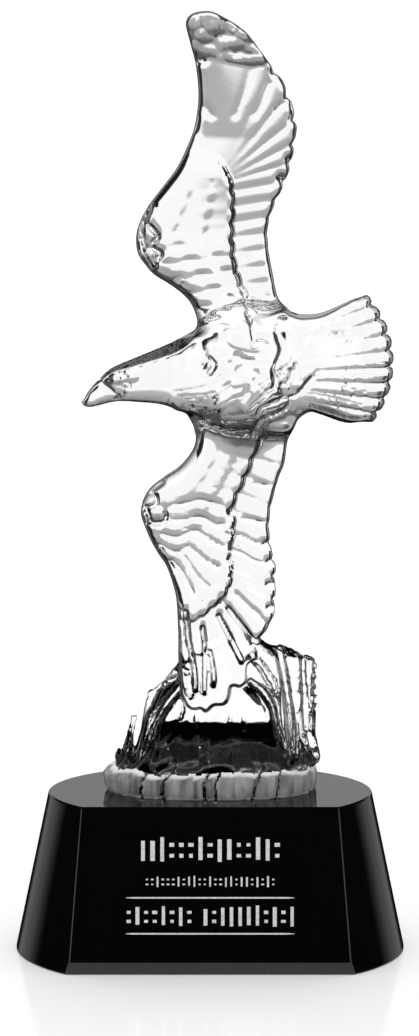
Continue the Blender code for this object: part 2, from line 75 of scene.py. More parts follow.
# %% Place the camera
EYE = Vector((-0.0002, -1.0914, 0.340))
LOOK_DOWN = math.radians(10.2285)
LENS = 117.85  # millimetres, for a picture 36 mm tall


def show(name, data):
    """Puts an object made of this data into the scene."""
    made = bpy.data.objects.new(name, data)
    bpy.context.scene.collection.objects.link(made)
    return made


def place_camera():
    lens = bpy.data.cameras.new("camera")
    lens.lens = LENS
    lens.sensor_width = 36.0
    lens.clip_end = 50.0
    camera = show("camera", lens)
    camera.location = EYE
    camera.rotation_euler = (math.radians(90) - LOOK_DOWN, 0, 0)
    bpy.context.scene.camera = camera


place_camera()
print("eye", [round(v, 3) for v in EYE], "looking down", round(math.degrees(LOOK_DOWN), 1), "degrees")

# %% [markdown]
# ## How the casting is made
# A mould maker carves such a figure as a low relief: an outline, a thickness at each point of the
# mould's plane, and feathers cut into that thickness. It could be sculpted by hand or lofted from
# sections. Here it is written as a field, a number at each point of space that is negative inside the
# glass, because fields of round and flat forms can be melted together with a soft fillet, as glass is,
# and their skin always comes out closed. One unit of the drawing is one millimetre of the casting.

# %% Lines, distances and soft joins
UNIT = 0.001
FAR = 30.0  # further from the skin than any fillet reaches
AXIS_Z = 138.5  # the height of the line from the beak to the tail


def smooth_line(points, steps=7):
    """Points along a Catmull-Rom curve through the given ones."""
    p = np.array(points, float)
    p = np.vstack([2 * p[0] - p[1], p, 2 * p[-1] - p[-2]])
    t = np.linspace(0, 1, steps, endpoint=False)[:, None]
    pieces = []
    for a, b, c, d in zip(p[:-3], p[1:-2], p[2:-1], p[3:]):
        square, cube = 2 * a - 5 * b + 4 * c - d, 3 * b - a - 3 * c + d
        pieces.append(0.5 * (2 * b + (c - a) * t + square * t**2 + cube * t**3))
    return np.vstack([*pieces, p[-2:-1]])


def distance_to(line, x, z):
    """The distance of each point (x, z) from a line of points."""
    nearest = np.full(np.shape(x), np.inf)
    for (ax, az), (bx, bz) in zip(line[:-1], line[1:]):
        dx, dz = bx - ax, bz - az
        along = ((x - ax) * dx + (z - az) * dz) / (dx * dx + dz * dz)
        along = np.clip(along, 0, 1)
        nearest = np.minimum(nearest, (x - ax - along * dx) ** 2 + (z - az - along * dz) ** 2)
    return np.sqrt(nearest)


def inside(outline, x, z):
    """True where (x, z) lies within the closed outline."""
    odd = np.zeros(np.shape(x), bool)
    for (ax, az), (bx, bz) in zip(outline, np.roll(outline, -1, axis=0)):
        if az != bz:
            odd ^= ((az > z) != (bz > z)) & (x < (bx - ax) * (z - az) / (bz - az) + ax)
    return odd


def depth_inside(outline, x, z):
    """How deep (x, z) lies within the outline, and less than nothing outside it."""
    edge = distance_to(np.vstack([outline, outline[:1]]), x, z)
    return np.where(inside(outline, x, z), edge, -edge)


def melt(a, b, width):
    """Two forms melted into one, with a fillet about as wide as width."""
    share = np.clip(0.5 + 0.5 * (b - a) / width, 0, 1)
    return b + (a - b) * share - width * share * (1 - share)


def ramp(value, low, high):
    """0 below low, 1 above high and smooth between."""
    t = np.clip((value - low) / (high - low), 0, 1)
    return t * t * (3 - 2 * t)


def bumps(u, v, pitch, seed):
    """Smooth random bumps about pitch apart, from -1 to 1."""
    grid = np.random.default_rng(seed).uniform(-1, 1, (64, 64))
    i, j = np.floor(u / pitch).astype(int), np.floor(v / pitch).astype(int)
    s, t = ramp(u / pitch - i, 0, 1), ramp(v / pitch - j, 0, 1)
    near = grid[i % 64, j % 64] * (1 - s) + grid[(i + 1) % 64, j % 64] * s
    far = grid[i % 64, (j + 1) % 64] * (1 - s) + grid[(i + 1) % 64, (j + 1) % 64] * s
    return near * (1 - t) + far * t


def lines_cut(lines, x, z):
    """How deep the carver's lines are at (x, z). A line has a depth, a half width and its points."""
    cut = 0 * x
    for deep, half_width, points in lines:
        across = distance_to(smooth_line(points, 4), x, z) / half_width
        cut = np.maximum(cut, deep * np.clip(1 - across, 0, 1))
    return cut


def plate(depth, off_middle, half, radius):
    """A plate with rounded edges: depth inside its outline, distance off its middle, half thickness."""
    a = off_middle - (half - radius)
    b = radius - depth
    corner = np.hypot(np.maximum(a, 0), np.maximum(b, 0))
    return corner + np.minimum(np.maximum(a, b), 0) - radius


# %% [markdown]
# ## The wings
# Each wing bends twice: forward to the wrist, which is the round knuckle of its front edge, and back to
# the tip. Its front edge is thick and its rear edge thin. Three rows of small feathers cover the front
# part and end in a raised line. Behind that line lie the long flight feathers, square to the wing on the
# arm, and spread like a fan beyond the wrist. A feather is told from its neighbour by counting: the
# index below is a whole number along the middle of each feather, and the groove is where it is halfway.

# %% The outlines of the wings
# sign is 1 for the wing above the body and -1 for the one below. pole is the point that the fan's
# feathers spread from, as x and distance from the body, and fan_start is the angle of the first one, in
# degrees. arm_slant is how far the arm's feathers slant, near the body and at the pole, in degrees. lean
# and bow move the wing out of the mould's plane. wave, covert_wave and groove are the heights of its
# relief. row_fade, notches and steep are the distances from the body between which the rows fade, the
# notches end and the steep rim starts.
UPPER_WING = dict(
    sign=1,
    leading=(
        (2, 138), (-4.2, 156), (-6.1, 160.6), (-8.7, 163.7), (-12.9, 166.9), (-18, 170.1),
        (-20.9, 173.3), (-23.1, 176.5), (-23.8, 180.3), (-23.5, 184.1), (-22.1, 187.9),
        (-19.6, 192.3), (-15.7, 197.4), (-10.9, 203.7), (-7.7, 210), (-5.2, 216.4), (-4, 223),
        (-3.8, 229), (-4.6, 236.5), (-6.3, 243.4),
    ),
    tip=((-7.8, 249.5), (-6.9, 251.9), (-4.6, 253.2), (-1, 253.6), (2, 252.9)),
    trailing=(
        (7.6, 249.9), (11.8, 246.7), (15.8, 241.6), (19.6, 236.5), (23.4, 231.5), (25.6, 226.4),
        (27.2, 221.4), (27.9, 216.4), (27, 210), (25.6, 203.7), (23.2, 197.4), (20.7, 192.3),
        (19.2, 187.9), (18.5, 184.1), (18.6, 180.3), (19, 176.5), (20.2, 170.1), (21.4, 164),
        (23.6, 157), (25, 150), (25, 138),
    ),
    coverts=((15.4, 139.2), (13.9, 150.1), (6.4, 175.6), (6.3, 196.7), (0.4, 207.1), (-14, 210.5)),
    wrist=(-21.0, 180.3),
    pole=(1.0, 60.0), fan_start=10.0, arm_slant=(5.0, 9.0), lean=7.5, bow=2.5,
    wave=0.24, covert_wave=0.9, groove=0.0, row_fade=(62, 74), notches=(94, 100), tip_slope=0.2,
    steep=(200, 201),
)
LOWER_WING = dict(
    sign=-1,
    leading=(
        (2, 138), (-5.4, 126), (-5.2, 120.5), (-4.6, 117.3), (-5.2, 114), (-7.1, 110.8),
        (-10.1, 107.5), (-14.9, 104.3), (-19.1, 101.1), (-21.3, 97.8), (-22.2, 95.2),
        (-22.5, 92.6), (-21.8, 90), (-20.8, 87.4), (-19.1, 83.6), (-16.9, 79.7), (-14.3, 75.8),
        (-12.4, 70.6), (-11.1, 65.4), (-10.6, 58.9), (-10.4, 52.3), (-10.4, 45), (-10, 34),
    ),
    tip=((-7.6, 29.4), (-5, 28.4), (-3.2, 28.8), (-1.5, 27.4)),
    trailing=(
        (1.4, 29.6), (4.9, 30), (6.7, 32.8), (7.4, 36), (9.8, 35.6), (12.4, 37.9), (12.9, 43.2),
        (16.2, 45.3), (15.9, 50.9), (18.6, 54.8), (20.9, 60), (21.5, 65.4), (21.2, 70.6),
        (21.4, 75.8), (20.3, 79.7), (19.6, 83.6), (19.3, 87.4), (19.5, 92.6), (20.5, 97.8),
        (22.3, 104.3), (24, 108.5), (24.8, 114), (25.4, 120.5), (25.6, 128), (25, 138),
    ),
    coverts=(
        (17.6, 138), (16.8, 122.7), (12.6, 110.4), (6.7, 97.1), (5.3, 93.2), (6.9, 89), (5.3, 79.6),
        (6, 75.1), (4.6, 68.3), (-2.7, 61.1), (-7.5, 59.3), (-16, 61),
    ),
    wrist=(-20.5, 92.6),
    pole=(-9.5, 56.5), fan_start=24.0, arm_slant=(2.0, 22.0), lean=-9.2, bow=0.5,
    wave=0.03, covert_wave=0.0, groove=0.25, row_fade=(200, 201), notches=(76, 84), tip_slope=0.0,
    steep=(78, 88),
)
LEAN_REACH = 125  # how far from the body a wing has all of its lean

# %% [markdown]
# A row of small feathers is shaped like roof tiles: it rises slowly to its end and drops there. The end
# is not straight but a chain of round tongues, one for each feather. The rows are laid from the
# front edge backwards, each at a share of the way to the last one, so they follow the wing's bends.

# %% Lines carved into the wings
# Depth, half width and points of each line, and where the small pits lie.
UPPER_LINES = (
    (
        2.6, 1.3,
        ((-19.5, 186.1), (-18.3, 184.7), (-16.7, 182.5), (-19.1, 179.5), (-15.9, 177.3), (-16.7, 175.7)),
    ),
    (0.7, 0.8, ((-17.9, 192.7), (-16.9, 190.7), (-17.5, 188.9))),
    (1.8, 1.2, ((-18.5, 178.9), (-17.1, 178.3), (-16.7, 175.3))),
    (2.2, 1.3, ((-19.6, 190.6), (-21.3, 186.9), (-21.6, 182.6), (-20.4, 178.4), (-17.6, 173.6))),
    (0.5, 1.6, ((-4, 214.8), (-3.6, 222), (-1.6, 223.6), (0.4, 220.6))),
    (0.4, 1.5, ((18.9, 230.8), (17.1, 225.4), (14.4, 220.8))),
    (0.3, 1.6, ((13.6, 235.6), (11.4, 229), (8, 220.8))),
    (0.8, 0.9, ((21, 222.4), (23.4, 224.6), (25.6, 223), (25.4, 219))),
)
LOWER_LINES = (
    (
        2.4, 1.2,
        ((-15.5, 103.1), (-19.2, 100), (-17.5, 98.7), (-17.9, 96), (-20.6, 94.9), (-19.5, 92.5)),
    ),
    (2.2, 1.2, ((-19.5, 92.5), (-19, 90.2), (-14.8, 90.7), (-14.5, 93.8))),
    (
        0.8, 0.75,
        ((-17, 95.6), (-14.1, 95.4), (-11.5, 96.2), (-7, 96.9), (-3.5, 97.8), (0.1, 96.9), (3.6, 95.8)),
    ),
    (0.9, 0.75, ((-12.6, 91.1), (-8.8, 91.1), (-4.8, 92.2), (-1.7, 91.6), (1.8, 89.4), (4.1, 89.8))),
    (
        1, 0.75,
        ((-15.9, 86.7), (-11, 85.6), (-7.5, 86.9), (-4.6, 87.6), (-1.7, 85.8), (1.8, 83.4), (4.1, 82.7)),
    ),
    (
        1, 0.75,
        ((-16.5, 83.6), (-13.3, 81.6), (-10.2, 80.7), (-7, 82.7), (-3.5, 79.6), (0.1, 76.9), (3.2, 75.6)),
    ),
    (1.2, 1, ((-12.4, 78.2), (-8.8, 74.2), (-5.3, 67.1))),
    (0.7, 1, ((-8.8, 79.6), (-3.5, 72), (0.1, 68.9))),
    (0.9, 0.8, ((14.2, 102.5), (18.2, 101.8))),
    (0.9, 0.8, ((10.3, 91.1), (16.9, 90))),
    (0.9, 0.8, ((4.9, 86.7), (10.3, 85.4), (14.3, 83.4), (17.8, 82.7))),
    (0.9, 0.8, ((4.9, 81.8), (10.3, 80), (14.3, 77.6), (18.7, 76.7))),
    (0.6, 0.9, ((6.3, 76), (12.5, 72.9))),
    (0.9, 1.1, ((4.1, 64.4), (7.2, 59.1), (9.9, 55.6))),
    (0.9, 1.1, ((8.5, 66.7), (12.5, 62.6), (16.1, 59.5), (18.3, 55.9))),
    (2.8, 1.3, ((-7.9, 61.3), (-7.1, 52.9), (-5.4, 43.9), (-4.7, 37.9), (-4.9, 35.9))),
    (2.6, 1.3, ((0, 47.9), (1.2, 39.9), (1, 37.4))),
    (2.4, 1.3, ((-2.4, 56), (-1.6, 46.5), (-1.9, 35))),
    (2.4, 1.3, ((2.9, 59.8), (7.8, 49.9), (10.3, 44.9))),
    (2.4, 1.3, ((5.9, 62.2), (12.7, 53.3), (14.2, 50.9))),
)
UPPER_PITS = ((-2.4, 238.2), (26.4, 231.4), (22.8, 235.8), (28.2, 215), (25.4, 207), (22.6, 201))
LOWER_PITS = ((17.8, 82.7), (18.9, 76.9), (19.2, 69.8), (19.4, 62.2))
UPPER_WING.update(lines=UPPER_LINES, pits=UPPER_PITS)
LOWER_WING.update(lines=LOWER_LINES, pits=LOWER_PITS)
RIM_BEVEL = (1.6, 3.0)  # the steep bevel round the tip that lies before the rock: width and depth
PIT_DEPTH = 1.7  # how deep the small round pits are
PIT_RADIUS = 1.25


def carving(lines, pits, x, z):
    """How deep the carver's lines and pits are at (x, z)."""
    cut = lines_cut(lines, x, z)
    for px, pz in pits:
        cut = np.maximum(cut, PIT_DEPTH * np.exp(-((x - px) ** 2 + (z - pz) ** 2) / PIT_RADIUS**2))
    return cut


# %% Feathers on a wing
WING_ROOT_HALF = 6.4  # half thickness of a wing near the body
WING_TIP_HALF = 3.7
THIN_REACH = 75  # how far from the body a wing is thinnest
THICKEN = 0.012  # how fast each half of it thickens again beyond
TRAILING_HALF = 2.7
ARM_PITCH = 5.1  # width of a feather on the arm
FAN_PITCH = 11.5  # degrees from one spread feather to the next
FAN_ROUND = 0.38  # how deep the hollow between two spread feathers is
GROOVE_HALF = 0.7  # half the width of the fine groove between the feathers of the lower wing
KNUCKLE = 0.4  # the height of the lumps on the wrist
TIP_EDGE = (-3.1, 101.2, -0.22)  # the tip facet's lower edge: x and q of a point, and how it falls
TIP_ROUGH = 0.9  # the height of the hammered bumps on that facet
BLOB_PITCH = 8.6  # how far apart the swellings along each covert are
ROW_ENDS = ((0.36, 0.25), (0.68, 0.35), (1.0, 1.5))  # where each row ends, and how high its step is
NOTCH = 1.3  # how deep the outline is cut between feathers
BACK_SHARE = 0.5  # the back of the mould is cut less deeply than the front
WING_LENGTH = 110
FAN_BLEND = 8  # how far on each side of the pole the arm's feathers turn into the fan's
NOTCHED_FROM = (30, 75)  # the distances from the body over which the notches grow
EDGE_FADE = 3.0  # the relief fades over this width inside the outline
ROOT_FADE = (5, 17)  # and between these distances from the body
BLOB_SPAN = (8, 18, 34, 48)  # where the swellings start, are full, are still full and end
EDGE_ROUNDING = 0.75  # how round a wing's edge is, as a share of its half thickness
ROUNDING_LOST = 0.45  # how much of that is missing on the tip facet and the steep rim


def tile(past_end, length, height, soft=0.9):
    """A row of feathers as seen from the side: it rises towards its end and drops there."""
    return height * np.minimum(1 + past_end / length, 1 - past_end / soft)


def feather_index(wing, x, q):
    """Which flight feather (x, q) lies on, counted along the wing, with q the distance from the body."""
    px, pq = wing["pole"]
    start = wing["fan_start"]
    angle = np.degrees(np.arctan2(q - pq, x - px))
    fan = (angle - start) / FAN_PITCH
    near, far = np.tan(np.radians(wing["arm_slant"]))
    slant = near + (far - near) * ramp(q, 5, pq)
    base = pq + (x - px) * math.tan(math.radians(start))
    arm = (q - (x - px) * (slant - math.tan(math.radians(start))) - base) / ARM_PITCH
    return np.where(angle > start, fan, arm)


def covert_rows(wing, x, z, index, front):
    """The height of the rows of small feathers, and how far each point lies past the last row."""
    line = smooth_line(wing["coverts"], 4)
    away = np.array([(-60, 0)])
    past_all = distance_to(line, x, z)
    covered = inside(np.vstack([line, line[-1] + away, line[0] + away]), x, z)
    past_all = np.where(covered, -past_all, past_all)
    reach = front + np.abs(past_all)
    rows = []
    for n, (end, step) in enumerate(ROW_ENDS):
        stagger = index + 0.5 * (n % 2)
        tongue = 1 - (2 * np.abs(stagger - np.round(stagger))) ** 2
        past = past_all + (1 - end) * reach - 0.9 * (tongue - 0.5)
        rows.append(np.maximum(tile(past, 1.2 * reach + 4.0, step), 0))
    return sum(rows), past_all


def wrist_lumps(wing, x, z):
    """The small lumps that the mould has on the knuckle of the wing."""
    wx, wz = wing["wrist"]
    lumps = 0 * x
    for n in range(5):
        cx, cz = wx + 1.6 * (n % 2) + 0.35 * (n - 2) ** 2, wz + 4.2 * (n - 2)
        lumps += KNUCKLE * np.exp(-((x - cx) ** 2 + (z - cz) ** 2) / 3.2)
    return lumps


def wing_form(wing, x, z):
    """A wing over the mould's plane: outline depth, half thickness, relief, middle and edge rounding."""
    leading = smooth_line(wing["leading"])
    tip = smooth_line((wing["leading"][-1], *wing["tip"], wing["trailing"][0]), 4)
    trailing = smooth_line(wing["trailing"])
    depth = depth_inside(np.vstack([leading, tip[1:-1], trailing]), x, z)
    front = distance_to(np.vstack([leading, tip[1 : len(tip) // 2]]), x, z)
    rear = distance_to(trailing, x, z)
    across = front / (front + rear)
    q = (z - AXIS_Z) * wing["sign"]
    index = feather_index(wing, x, q)
    off_middle = np.abs(index - np.round(index))
    valley = (2 * off_middle) ** 3
    spread = ramp(q, wing["pole"][1] - FAN_BLEND, wing["pole"][1] + FAN_BLEND)
    notched = ramp(q, *NOTCHED_FROM) * (1 - ramp(q, *wing["notches"]))
    depth = depth - NOTCH * valley * ramp(across, 0.5, 0.8) * notched

    lengthwise = np.clip(q / WING_LENGTH, 0, 1)
    thick = WING_ROOT_HALF + (WING_TIP_HALF - WING_ROOT_HALF) * np.clip(q / THIN_REACH, 0, 1)
    thick = thick + THICKEN * np.maximum(q - THIN_REACH, 0)
    half = TRAILING_HALF + (thick - TRAILING_HALF) * (1 - ramp(across, 0.15, 1.0))

    rows, past_all = covert_rows(wing, x, z, index, front)
    covered = 1 - ramp(past_all, -1.0, 0.5)
    wave = 0.5 * np.cos(2 * math.pi * index)
    arm = wing["wave"] * (0.55 + 0.45 * ramp(across, 0.5, 0.95)) * (1 - covered)
    arm = arm * (1.7 - 0.8 * ramp(q, 15, 50))
    lobes = 0.65 + 0.45 * np.cos(2 * math.pi * (past_all / BLOB_PITCH + 0.37 * np.round(index)))
    swollen = ramp(q, *BLOB_SPAN[:2]) * (1 - ramp(q, *BLOB_SPAN[2:]))
    arm = arm + wing["covert_wave"] * lobes * covered * swollen
    groove = -np.maximum(0, 1 - (0.5 - off_middle) * ARM_PITCH / GROOVE_HALF)
    groove = groove * wing["groove"] * ramp(across, 0.2, 0.4)
    fan = -FAN_ROUND * valley * ramp(across, 0.35, 0.8)
    relief = (arm * wave + groove) * (1 - spread) + fan * spread
    rows = rows * (1 - 0.8 * ramp(q, *wing["row_fade"]))
    fade = ramp(depth, 0.0, EDGE_FADE) * ramp(q, *ROOT_FADE)
    edge_x, edge_q, edge_fall = TIP_EDGE
    past_edge = q - edge_q - edge_fall * (x - edge_x)
    bulb = wing["tip_slope"] * np.maximum(past_edge, 0)
    on_facet = ramp(past_edge, 0, 1.5) * (wing["tip_slope"] > 0)
    hammered = TIP_ROUGH * (bumps(x, z, 2.8, 5) + 0.5 * bumps(x, z, 1.6, 6)) * on_facet
    relief = (relief + rows) * fade + wrist_lumps(wing, x, z) - carving(wing["lines"], wing["pits"], x, z)
    steep = ramp(q, *wing["steep"])
    relief = relief - RIM_BEVEL[1] * np.clip(1 - depth / RIM_BEVEL[0], 0, 1) * steep
    middle = wing["lean"] * ramp(q, 0, LEAN_REACH) + wing["bow"] * lengthwise**3
    rounding = EDGE_ROUNDING - ROUNDING_LOST * np.maximum(on_facet, steep)
    return depth, half + bulb, relief + hammered, middle, rounding


# %% [markdown]
# ## The tail
# The tail is a fan of nine feathers that spread from a point inside the body. Each one overlaps the
# next, so its section is a saw tooth, and the fan closes in an arc whose outer feathers are shorter.

# %% The tail's outline and relief
TAIL_UPPER = (
    (10, 152), (22, 158.6), (26, 157.5), (29, 156.6), (32.2, 156.6), (35.4, 157.1),
    (38.7, 158.3), (41.9, 159.9), (45.1, 161.5), (49.2, 163.5),
)
TAIL_LOWER = (
    (51.3, 121.6), (48.3, 122.1), (45.1, 122.1), (41.9, 122.8), (38.7, 124.1), (35.4, 125.4),
    (32.2, 126.6), (29, 124.6), (24, 119.5), (10, 124),
)
TAIL_POLE = (-5.7, 139.7)
TAIL_REACH = 65.4
TAIL_FEATHERS = 9
TAIL_SPREAD = (-18.2, 24.5)  # degrees
TAIL_DROP = 4.6  # how far the outer feathers fall short of the middle ones
TAIL_STEP = 1.5  # how high each feather stands over the next one below
TAIL_WALL = 0.12  # how much of a feather's width the step takes
TAIL_NOTCH = 1.5  # how deep the outline is cut between the feathers' ends
TAIL_END_HALF = 3.2  # half thickness at the end
TAIL_ROOT_MORE = 5.0  # how much thicker each half is at the body
TAIL_THINS = (34, 62)  # the distances from the pole between which it thins
TAIL_ROUNDING = 1.6
TAIL_BEVEL = (2.3, 2.8)  # the bevel at the feathers' ends: its width and its depth on each side


def tail_form(x, z):
    """The outline depth, plain half thickness and relief of the tail."""
    px, pz = TAIL_POLE
    low, high = TAIL_SPREAD
    middle_angle = 0.5 * (low + high)
    angle = np.degrees(np.arctan2(z - pz, x - px))
    index = (angle - low) / (high - low) * TAIL_FEATHERS
    share = index - np.floor(index) - 0.5
    valley = (2 * np.abs(share)) ** 3
    ends = np.radians(np.linspace(high - 1.5, low + 1.5, 25))
    fall = TAIL_DROP * ((np.degrees(ends) - middle_angle) / (0.5 * (high - low))) ** 2
    arc = np.stack([px + (TAIL_REACH - fall) * np.cos(ends), pz + (TAIL_REACH - fall) * np.sin(ends)], 1)
    depth = depth_inside(np.vstack([smooth_line(TAIL_UPPER), arc, smooth_line(TAIL_LOWER)]), x, z)
    reach = np.hypot(x - px, z - pz)
    depth = depth - TAIL_NOTCH * valley * ramp(reach, TAIL_REACH - 12, TAIL_REACH - 3)
    half = TAIL_END_HALF + TAIL_ROOT_MORE * (1 - ramp(reach, *TAIL_THINS))
    bevel = np.clip(1 - depth / TAIL_BEVEL[0], 0, 1) * ramp(reach, TAIL_REACH - 9, TAIL_REACH - 6)
    half = half - TAIL_BEVEL[1] * bevel
    edge = np.minimum(0.5 - share, (0.5 + share) / TAIL_WALL)
    strong = 0.3 + 0.7 * ramp(middle_angle + 2 - angle, -4, 8)
    relief = TAIL_STEP * strong * edge * ramp(reach, 32, 42) * ramp(depth, 0.0, 1.5)
    return depth, half, relief


# %% [markdown]
# ## The body and the head
# The body is a spindle from the beak to the root of the tail, given as oval sections. Its feathers are
# staggered scales that lie in rows round it. The head is smooth, with the edge of the beak, the brow
# and the eye cut in, as on a simple mould.

# %% The body's sections and its scales
BODY = (
    (-41.0, 128.6, 1.0, 1.5), (-39.0, 130.0, 2.9, 2.3), (-35.6, 132.3, 4.4, 3.3), (-32.4, 134.2, 5.4, 4.2),
    (-29.1, 135.3, 6.0, 5.1), (-24, 136.3, 7.1, 6.5), (-17, 137.5, 8.8, 8.1), (-12.9, 137.9, 10.2, 9.0),
    (-9.8, 137.9, 11.6, 9.8), (1, 138.9, 14.4, 12.6), (9, 139.4, 15.6, 14.2), (16, 139.7, 15.6, 13.6),
    (25, 140.2, 14.2, 11.1), (33, 140.5, 12.2, 8.6), (42, 140.5, 9.5, 5.6), (50, 140.3, 6.0, 2.6),
)
BODY_SQUARE = 5.5  # 2 would be an oval section, and more is flatter on its faces
ROOF_SLOPE = math.radians(70)  # the bevel along the top of the head and neck, from the mould's plane
SCALE_PITCH = 6.2
SCALE_WIDTH = 7.4
SCALE_STEP = 0.22


def body_form(x, y, z):
    """The spindle with its scales."""
    stations = smooth_line(BODY, 6)
    middle = np.interp(x, stations[:, 0], stations[:, 1])
    tall = np.interp(x, stations[:, 0], stations[:, 2])
    deep = np.interp(x, stations[:, 0], stations[:, 3])
    beyond = np.maximum(stations[0, 0] - x, 0) + np.maximum(x - stations[-1, 0], 0)
    ring = np.abs((z - middle) / tall) ** BODY_SQUARE + np.abs(y / deep) ** BODY_SQUARE
    field = (ring ** (1 / BODY_SQUARE) - 1) * np.minimum(tall, deep)
    roof = (z - middle - tall) * math.sin(ROOF_SLOPE) + np.abs(y) * math.cos(ROOF_SLOPE)
    field = np.maximum(field, roof - 5 * ramp(x, -12, 2))
    field = np.hypot(np.maximum(field, 0), beyond) + np.minimum(field, 0)

    around = np.arctan2(z - middle, np.abs(y) * tall / deep) * 0.5 * (tall + deep)
    along = x + 14 + 0.018 * (z - middle) ** 2
    rows = []
    first = np.floor(along / SCALE_PITCH)
    for back in (0, 1):
        row = first - 1 + back
        offset = around / SCALE_WIDTH + 0.5 * np.mod(row, 2)
        tongue = 1 - (2 * np.abs(offset - np.round(offset))) ** 2
        past = along - (row + 0.45 + 1.0 * tongue) * SCALE_PITCH
        rows.append(tile(past, 1.3 * SCALE_PITCH, SCALE_STEP, 0.8) + 0.15 * tongue)
    scales = np.maximum(np.maximum(rows[0], rows[1]), 0)
    strong = np.where(y < 0, 1.0, BACK_SHARE) * (1 - 0.5 * ramp(z - middle, -3, 6))
    return field - (scales - 0.2) * strong * ramp(x, -5, 5) * (1 - ramp(x, 30, 40))


# %% [markdown]
# Over the scales the mould maker cut a few bolder lines round the larger feathers of the breast and the
# roots of the wings. Each is a groove with sloping sides along a curve through a few points. In the
# glass it shows as a dark line with a bright one beside it.

# %% Lines carved round the feathers of the breast
# Depth, half width and points of each line.
BODY_LINES = (
    (0.5, 0.9, ((-9.9, 131.4), (-4.5, 131.9), (0.9, 132.9), (4.9, 134.3), (5.9, 136.3))),
    (0.7, 0.9, ((-7.2, 128.6), (0.9, 127.8), (3.6, 129), (7.6, 131.7), (11, 132.7), (12.3, 134.8))),
    (1.2, 0.9, ((12.3, 128.3), (16, 131.7), (18.4, 134.1), (20.4, 135.1), (20.7, 137.8), (20, 140.5))),
    (
        1.2, 0.9,
        (
            (15, 126.1), (16.4, 128.8), (20.4, 130.2), (23.1, 131.6), (23.5, 132.9), (22.4, 135.6),
            (25.1, 137), (26.1, 140.4),
        ),
    ),
    (0.5, 0.9, ((5.3, 124.6), (12.4, 125.3), (15.1, 126))),
    (1.3, 0.9, ((23.2, 131.4), (27.9, 132.4), (30.6, 135.5), (33.2, 138.2))),
    (1.4, 0.8, ((11.6, 158.4), (13.1, 155.1), (14, 149.6), (15.7, 150), (18.1, 149))),
    (0.8, 0.7, ((21.4, 154.5), (21.4, 151.8), (22.8, 147.1), (20.4, 141.6))),
    (1.2, 0.8, ((7.9, 145.6), (11, 144.3), (13.6, 143.9))),
    (1, 0.8, ((10.3, 143.9), (10, 141.9), (8.3, 140.5))),
    (0.8, 0.8, ((-1.1, 144.9), (1.5, 142.6), (-0.5, 139.2))),
    (0.8, 0.8, ((14.7, 140.5), (15.3, 138.8), (13.7, 137.1))),
    (1, 0.9, ((13.8, 118.8), (14.8, 122.2), (16.1, 124.6), (19.8, 125.7), (23.9, 127.7), (25.6, 130.4))),
)


# %% [markdown]
# The head has few marks: the edge of the beak, a raised brow and a round eye below it. They are worked
# out from the distance off the mould's plane, so both sides of the head get them.

# %% The beak, the brow and the eye
EYE_AT = (-27.0, 134.9)
EYE_OUT = 4.9  # how far from the mould's plane the middle of each eye lies
EYE_RADIUS = 1.15
GAPE = ((-36.3, 136.5), (-30.2, 131.6))  # the edge of the beak
GAPE_END = (-27.5, 132.4)
BROW = ((-30.5, 136.2), (-24, 137.6))


def carve_head(field, x, y, z):
    """Cuts the beak's edge and the gape, raises the brow and sets the eye, on both sides."""
    def cut(a, b, width, depth):
        return depth * np.clip(1 - distance_to(np.array([a, b], float), x, z) / width, 0, 1)

    carved = field + cut(*GAPE, 0.9, 0.7)
    carved = carved + cut(GAPE[1], GAPE_END, 0.8, 0.5)
    brow = distance_to(np.array(BROW, float), x, z)
    from_eye = np.hypot(x - EYE_AT[0], z - EYE_AT[1])
    carved = carved - 0.55 * ramp(-brow, -1.6, 0) + 0.5 * ramp(-from_eye, -1.9, -1.0)
    eye = np.hypot(from_eye, np.abs(y) - EYE_OUT) - EYE_RADIUS
    return melt(carved, eye, 0.3)


# %% [markdown]
# ## The rock
# The figure grows out of a piece of broken rock: a stump with flat chips knocked off it all round, and
# a rim at the foot that was ground flat and is broken into flutes by upright notches. Each chip is a
# shallow dish in the stump's side. Where two dishes meet they leave a sharp ridge, which is what shows
# in clear glass. Long cracks run up the rock, and its top leans forward into the wing before it.

# %% The rock's sections and chips
# The height of each section, its left and right ends and its half depth, as shares of the foot's.
ROCK = (
    (0.0, -1.0, 0.95, 0.985), (1.2, -1.03, 0.97, 1.0), (5.5, -1.05, 0.975, 0.985),
    (8.0, -0.96, 0.965, 0.95), (10.5, -0.90, 0.96, 0.87), (13.0, -0.87, 0.95, 0.79),
    (18.5, -0.82, 0.92, 0.61), (24.0, -0.755, 0.935, 0.45), (29.5, -0.665, 0.96, 0.385),
    (33.0, -0.60, 0.97, 0.342), (36.5, -0.455, 0.98, 0.30), (40.0, -0.38, 0.98, 0.257),
    (44.0, -0.29, 0.98, 0.209), (46.5, -0.20, 0.83, 0.178), (49.5, -0.04, 0.62, 0.142),
    (52.0, 0.12, 0.48, 0.111),
)
ROCK_X = 1.3
FOOT_HALF_WIDTH = 35.0
FOOT_HALF_DEPTH = 17.5
ROCK_SQUARE = 2.4  # 2 would be an oval section, and more is squarer
ROCK_LEAN = 0.21  # how steeply the rock's middle leans towards the wing before it
LEAN_FROM = 24.0  # above this height
ROCK_FACETS = 34
ROCK_SEED = 11
CHIP_HEIGHTS = (8, 44)  # where the middles of the chips lie
CHIP_ROUND = 2.0  # how fast a chip's dish rises to its sides
CHIP_TALL = 0.00022  # and to its top and bottom
ROCK_BREAK = 0.1  # the smooth side between the chips lies this far out, as a share of the foot
RIM_HEIGHT = 8.0
RIM_LEDGE = 0.03  # how far the broken rock stands back from the rim, as a share of the foot
RIM_NOTCHES = 34
RIM_SEED = 8
CRACK_SPAN = 2.5  # how far on each side of the rock's middle the front's cracks turn into the back's
